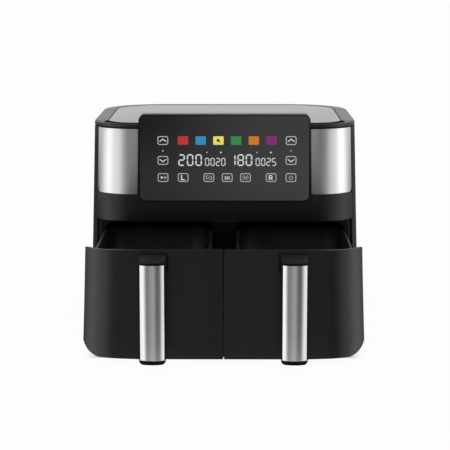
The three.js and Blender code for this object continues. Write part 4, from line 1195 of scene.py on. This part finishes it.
def white_floor():
    """Pale floor, white where it is open, with the shade of what stands on it. Reflections see the
    far white surround in its place, so they stay even over the object's height."""
    surface = Surface("floor_white")
    openness = surface.add("MapRange", "Result", {
        "Value": surface.add("AmbientOcclusion", "AO", {"Distance": SHADE_REACH}, samples=16),
        "From Min": OPEN_FROM, "From Max": OPEN_TO})
    backs = DRAWER_Y + DRAWER_BACK_Y
    under_fronts = surface.add("MapRange", "Result", {
        "Value": surface.axis("Y"),
        "From Min": (backs + LIT_STRIP) * MM, "From Max": backs * MM})
    glow = surface.add("Emission", "Emission", {
        "Color": surface.compute("MAXIMUM", openness, under_fronts), "Strength": 1})
    surface.finish({"Base Color": (0.86, 0.86, 0.86, 1), "Roughness": 1, "Specular IOR Level": 0})
    bright = surface.add("BsdfDiffuse", "BSDF", {"Color": (1, 1, 1, 1)})
    seen = surface.seen_rays()
    lit = surface.blend(seen, surface.shader.outputs["BSDF"], bright)
    surface.show(surface.blend(surface.compute("MULTIPLY", seen, FLOOR_GLOW), lit, glow))
    size = FLOOR_HALF
    floor = staged("floor", [(-size, -size, 0), (size, -size, 0), (size, size, 0),
                             (-size, size, 0)], [[0, 1, 2, 3]], surface)
    floor.visible_glossy = False


# Brightness of the studio's cards by degrees from the front, to the right: a grey flag in
# front, a tall white reflector at each side, and low dark flags behind them.
CARDS = {
    -180: 0.02, -150: 0.03, -122: 0.08, -111: 0.28, -102: 0.8, -94: 1.4, -84: 1.95, -70: 2.15,
    -65: 1.05, -60: 1.15, -55: 1.4, -48: 1.45, -42: 1.15, -37: 0.66, -32: 0.28, -23: 0.25,
    -15: 0.34, 0: 0.45, 7: 0.42, 14: 0.24, 22: 0.14, 32: 0.16, 37: 0.3, 42: 0.64, 48: 1.08,
    55: 1.25, 60: 0.85, 65: 0.85, 70: 2.1, 88: 2.15, 97: 1.55, 110: 0.37}
CARD_DISTANCE = 8
CARD_HEIGHT = 5.4
BACK_CARD_FROM = 106
RING_STEPS = 180
LID_HALF_TURN = 100
LID_GREY = 0.3


def card(name, points, faces, surface, colour, strength):
    """A card that only reflections see."""
    obj = staged(name, points, faces, surface)
    for ray in ("camera", "diffuse", "shadow", "transmission", "volume_scatter"):
        setattr(obj, f"visible_{ray}", False)
    surface.material.cycles.emission_sampling = "NONE"
    surface.show(surface.add("Emission", "Emission", {"Color": colour, "Strength": strength}))


def around(degrees, z):
    angle = math.radians(degrees)
    return CARD_DISTANCE * math.sin(angle), -CARD_DISTANCE * math.cos(angle), z


def card_ring():
    """Far ring of cards; everything past it reflects as white."""
    points = []
    for i in range(RING_STEPS):
        degrees = -180 + 360 * i / RING_STEPS
        tall = CARD_HEIGHT if abs(degrees) < BACK_CARD_FROM else 0
        points += [around(degrees, -CARD_HEIGHT), around(degrees, tall)]
    faces = [[2 * i, (2 * i + 2) % len(points), (2 * i + 3) % len(points), 2 * i + 1]
             for i in range(RING_STEPS)]
    surface = Surface("card_ring")
    front = surface.compute("MULTIPLY", surface.axis("Y"), -1)
    angle = surface.compute("ARCTAN2", surface.axis("X"), front)
    turn = surface.compute("ADD", surface.compute("DIVIDE", angle, 2 * math.pi), 0.5)
    ramp = surface.nodes.new("ShaderNodeValToRGB")
    surface.feed(ramp, {"Fac": turn})
    stops = list(CARDS.items())
    elements = ramp.color_ramp.elements
    for _ in stops[1:-1]:
        elements.new(0.5)
    scale = 2  # the ramp holds the brightness divided by this
    for element, (degrees, value) in zip(elements, stops):
        element.position = degrees / 360 + 0.5
        element.color = (*[value / scale] * 3, 1)
    card("card_ring", points, faces, surface, ramp.outputs["Color"], scale)


def card_lid():
    """Grey flag overhead, open towards the back."""
    edge = [around(degrees, CARD_HEIGHT)
            for degrees in range(-LID_HALF_TURN, LID_HALF_TURN + 1, 5)]
    card("card_lid", edge, [list(range(len(edge)))], Surface("card_lid"), (*[LID_GREY] * 3, 1), 1)


def sky():
    """White to the camera and in reflections, and a softer even light on the object."""
    world = bpy.data.worlds.new("studio")
    bpy.context.scene.world = world
    world.use_nodes = True
    world.cycles.sampling_method = "NONE"
    graph = Graph(world.node_tree)
    even = graph.nodes["Background"]
    graph.feed(even, {"Color": (1, 1, 1, 1), "Strength": 0.6})
    white = graph.add("Background", "Background", {"Color": (1, 1, 1, 1), "Strength": 1})
    graph.feed(graph.nodes["World Output"], {
        "Surface": graph.blend(graph.seen_rays(), even.outputs["Background"], white)})


LAMP_TARGET = (0, -0.05, 0.15)


def softbox(name, azimuth, elevation, distance, width, height, radiance):
    """Area lamp of a given radiance, aimed at the object; azimuth 0 is the front."""
    lamp = bpy.data.lights.new(name, "AREA")
    lamp.shape = "RECTANGLE"
    lamp.size, lamp.size_y = width, height
    lamp.energy = radiance * math.pi * width * height
    obj = linked(name, lamp)
    obj.visible_glossy = False
    a, e = math.radians(azimuth), math.radians(elevation)
    target = Vector(LAMP_TARGET)
    obj.location = target + distance * Vector(
        (math.sin(a) * math.cos(e), -math.cos(a) * math.cos(e), math.sin(e)))
    obj.rotation_mode = "QUATERNION"
    obj.rotation_quaternion = (target - obj.location).to_track_quat("-Z", "Y")


CAMERA_PLACE = (0.01196, -2.17897, 0.50692)
CAMERA_DIP, CAMERA_PAN = 9.53, 0.30  # degrees below level, and to the left
FOCAL_LENGTH = 124.5


def camera():
    data = bpy.data.cameras.new("camera")
    data.lens = FOCAL_LENGTH
    data.sensor_width = 36
    data.clip_start, data.clip_end = 0.05, 100
    obj = linked("camera", data)
    obj.location = CAMERA_PLACE
    obj.rotation_euler = (math.radians(90 - CAMERA_DIP), 0, math.radians(CAMERA_PAN))
    bpy.context.scene.camera = obj


# ------------------------------------------------------------------ everything

camera()
body_wrap()
front_band()
steel_panels()
top_ring()
top_sheet()
console()
mouth_ring()
foot_lathes()
gland()
drawer_faces()
pans()
crisper_plates()
bumpers()
handle_cores()
handle_faces()
display()
finish_nodes()
white_floor()
sky()
card_ring()
card_lid()
for name, azimuth in (("key_left", -62), ("key_right", 62)):
    softbox(name, azimuth, elevation=18, distance=1.7, width=0.75, height=1.5, radiance=1.35)
softbox("overhead", 0, elevation=80, distance=1.8, width=1.6, height=1.2, radiance=0.9)
bpy.context.scene.view_settings.view_transform = "Standard"
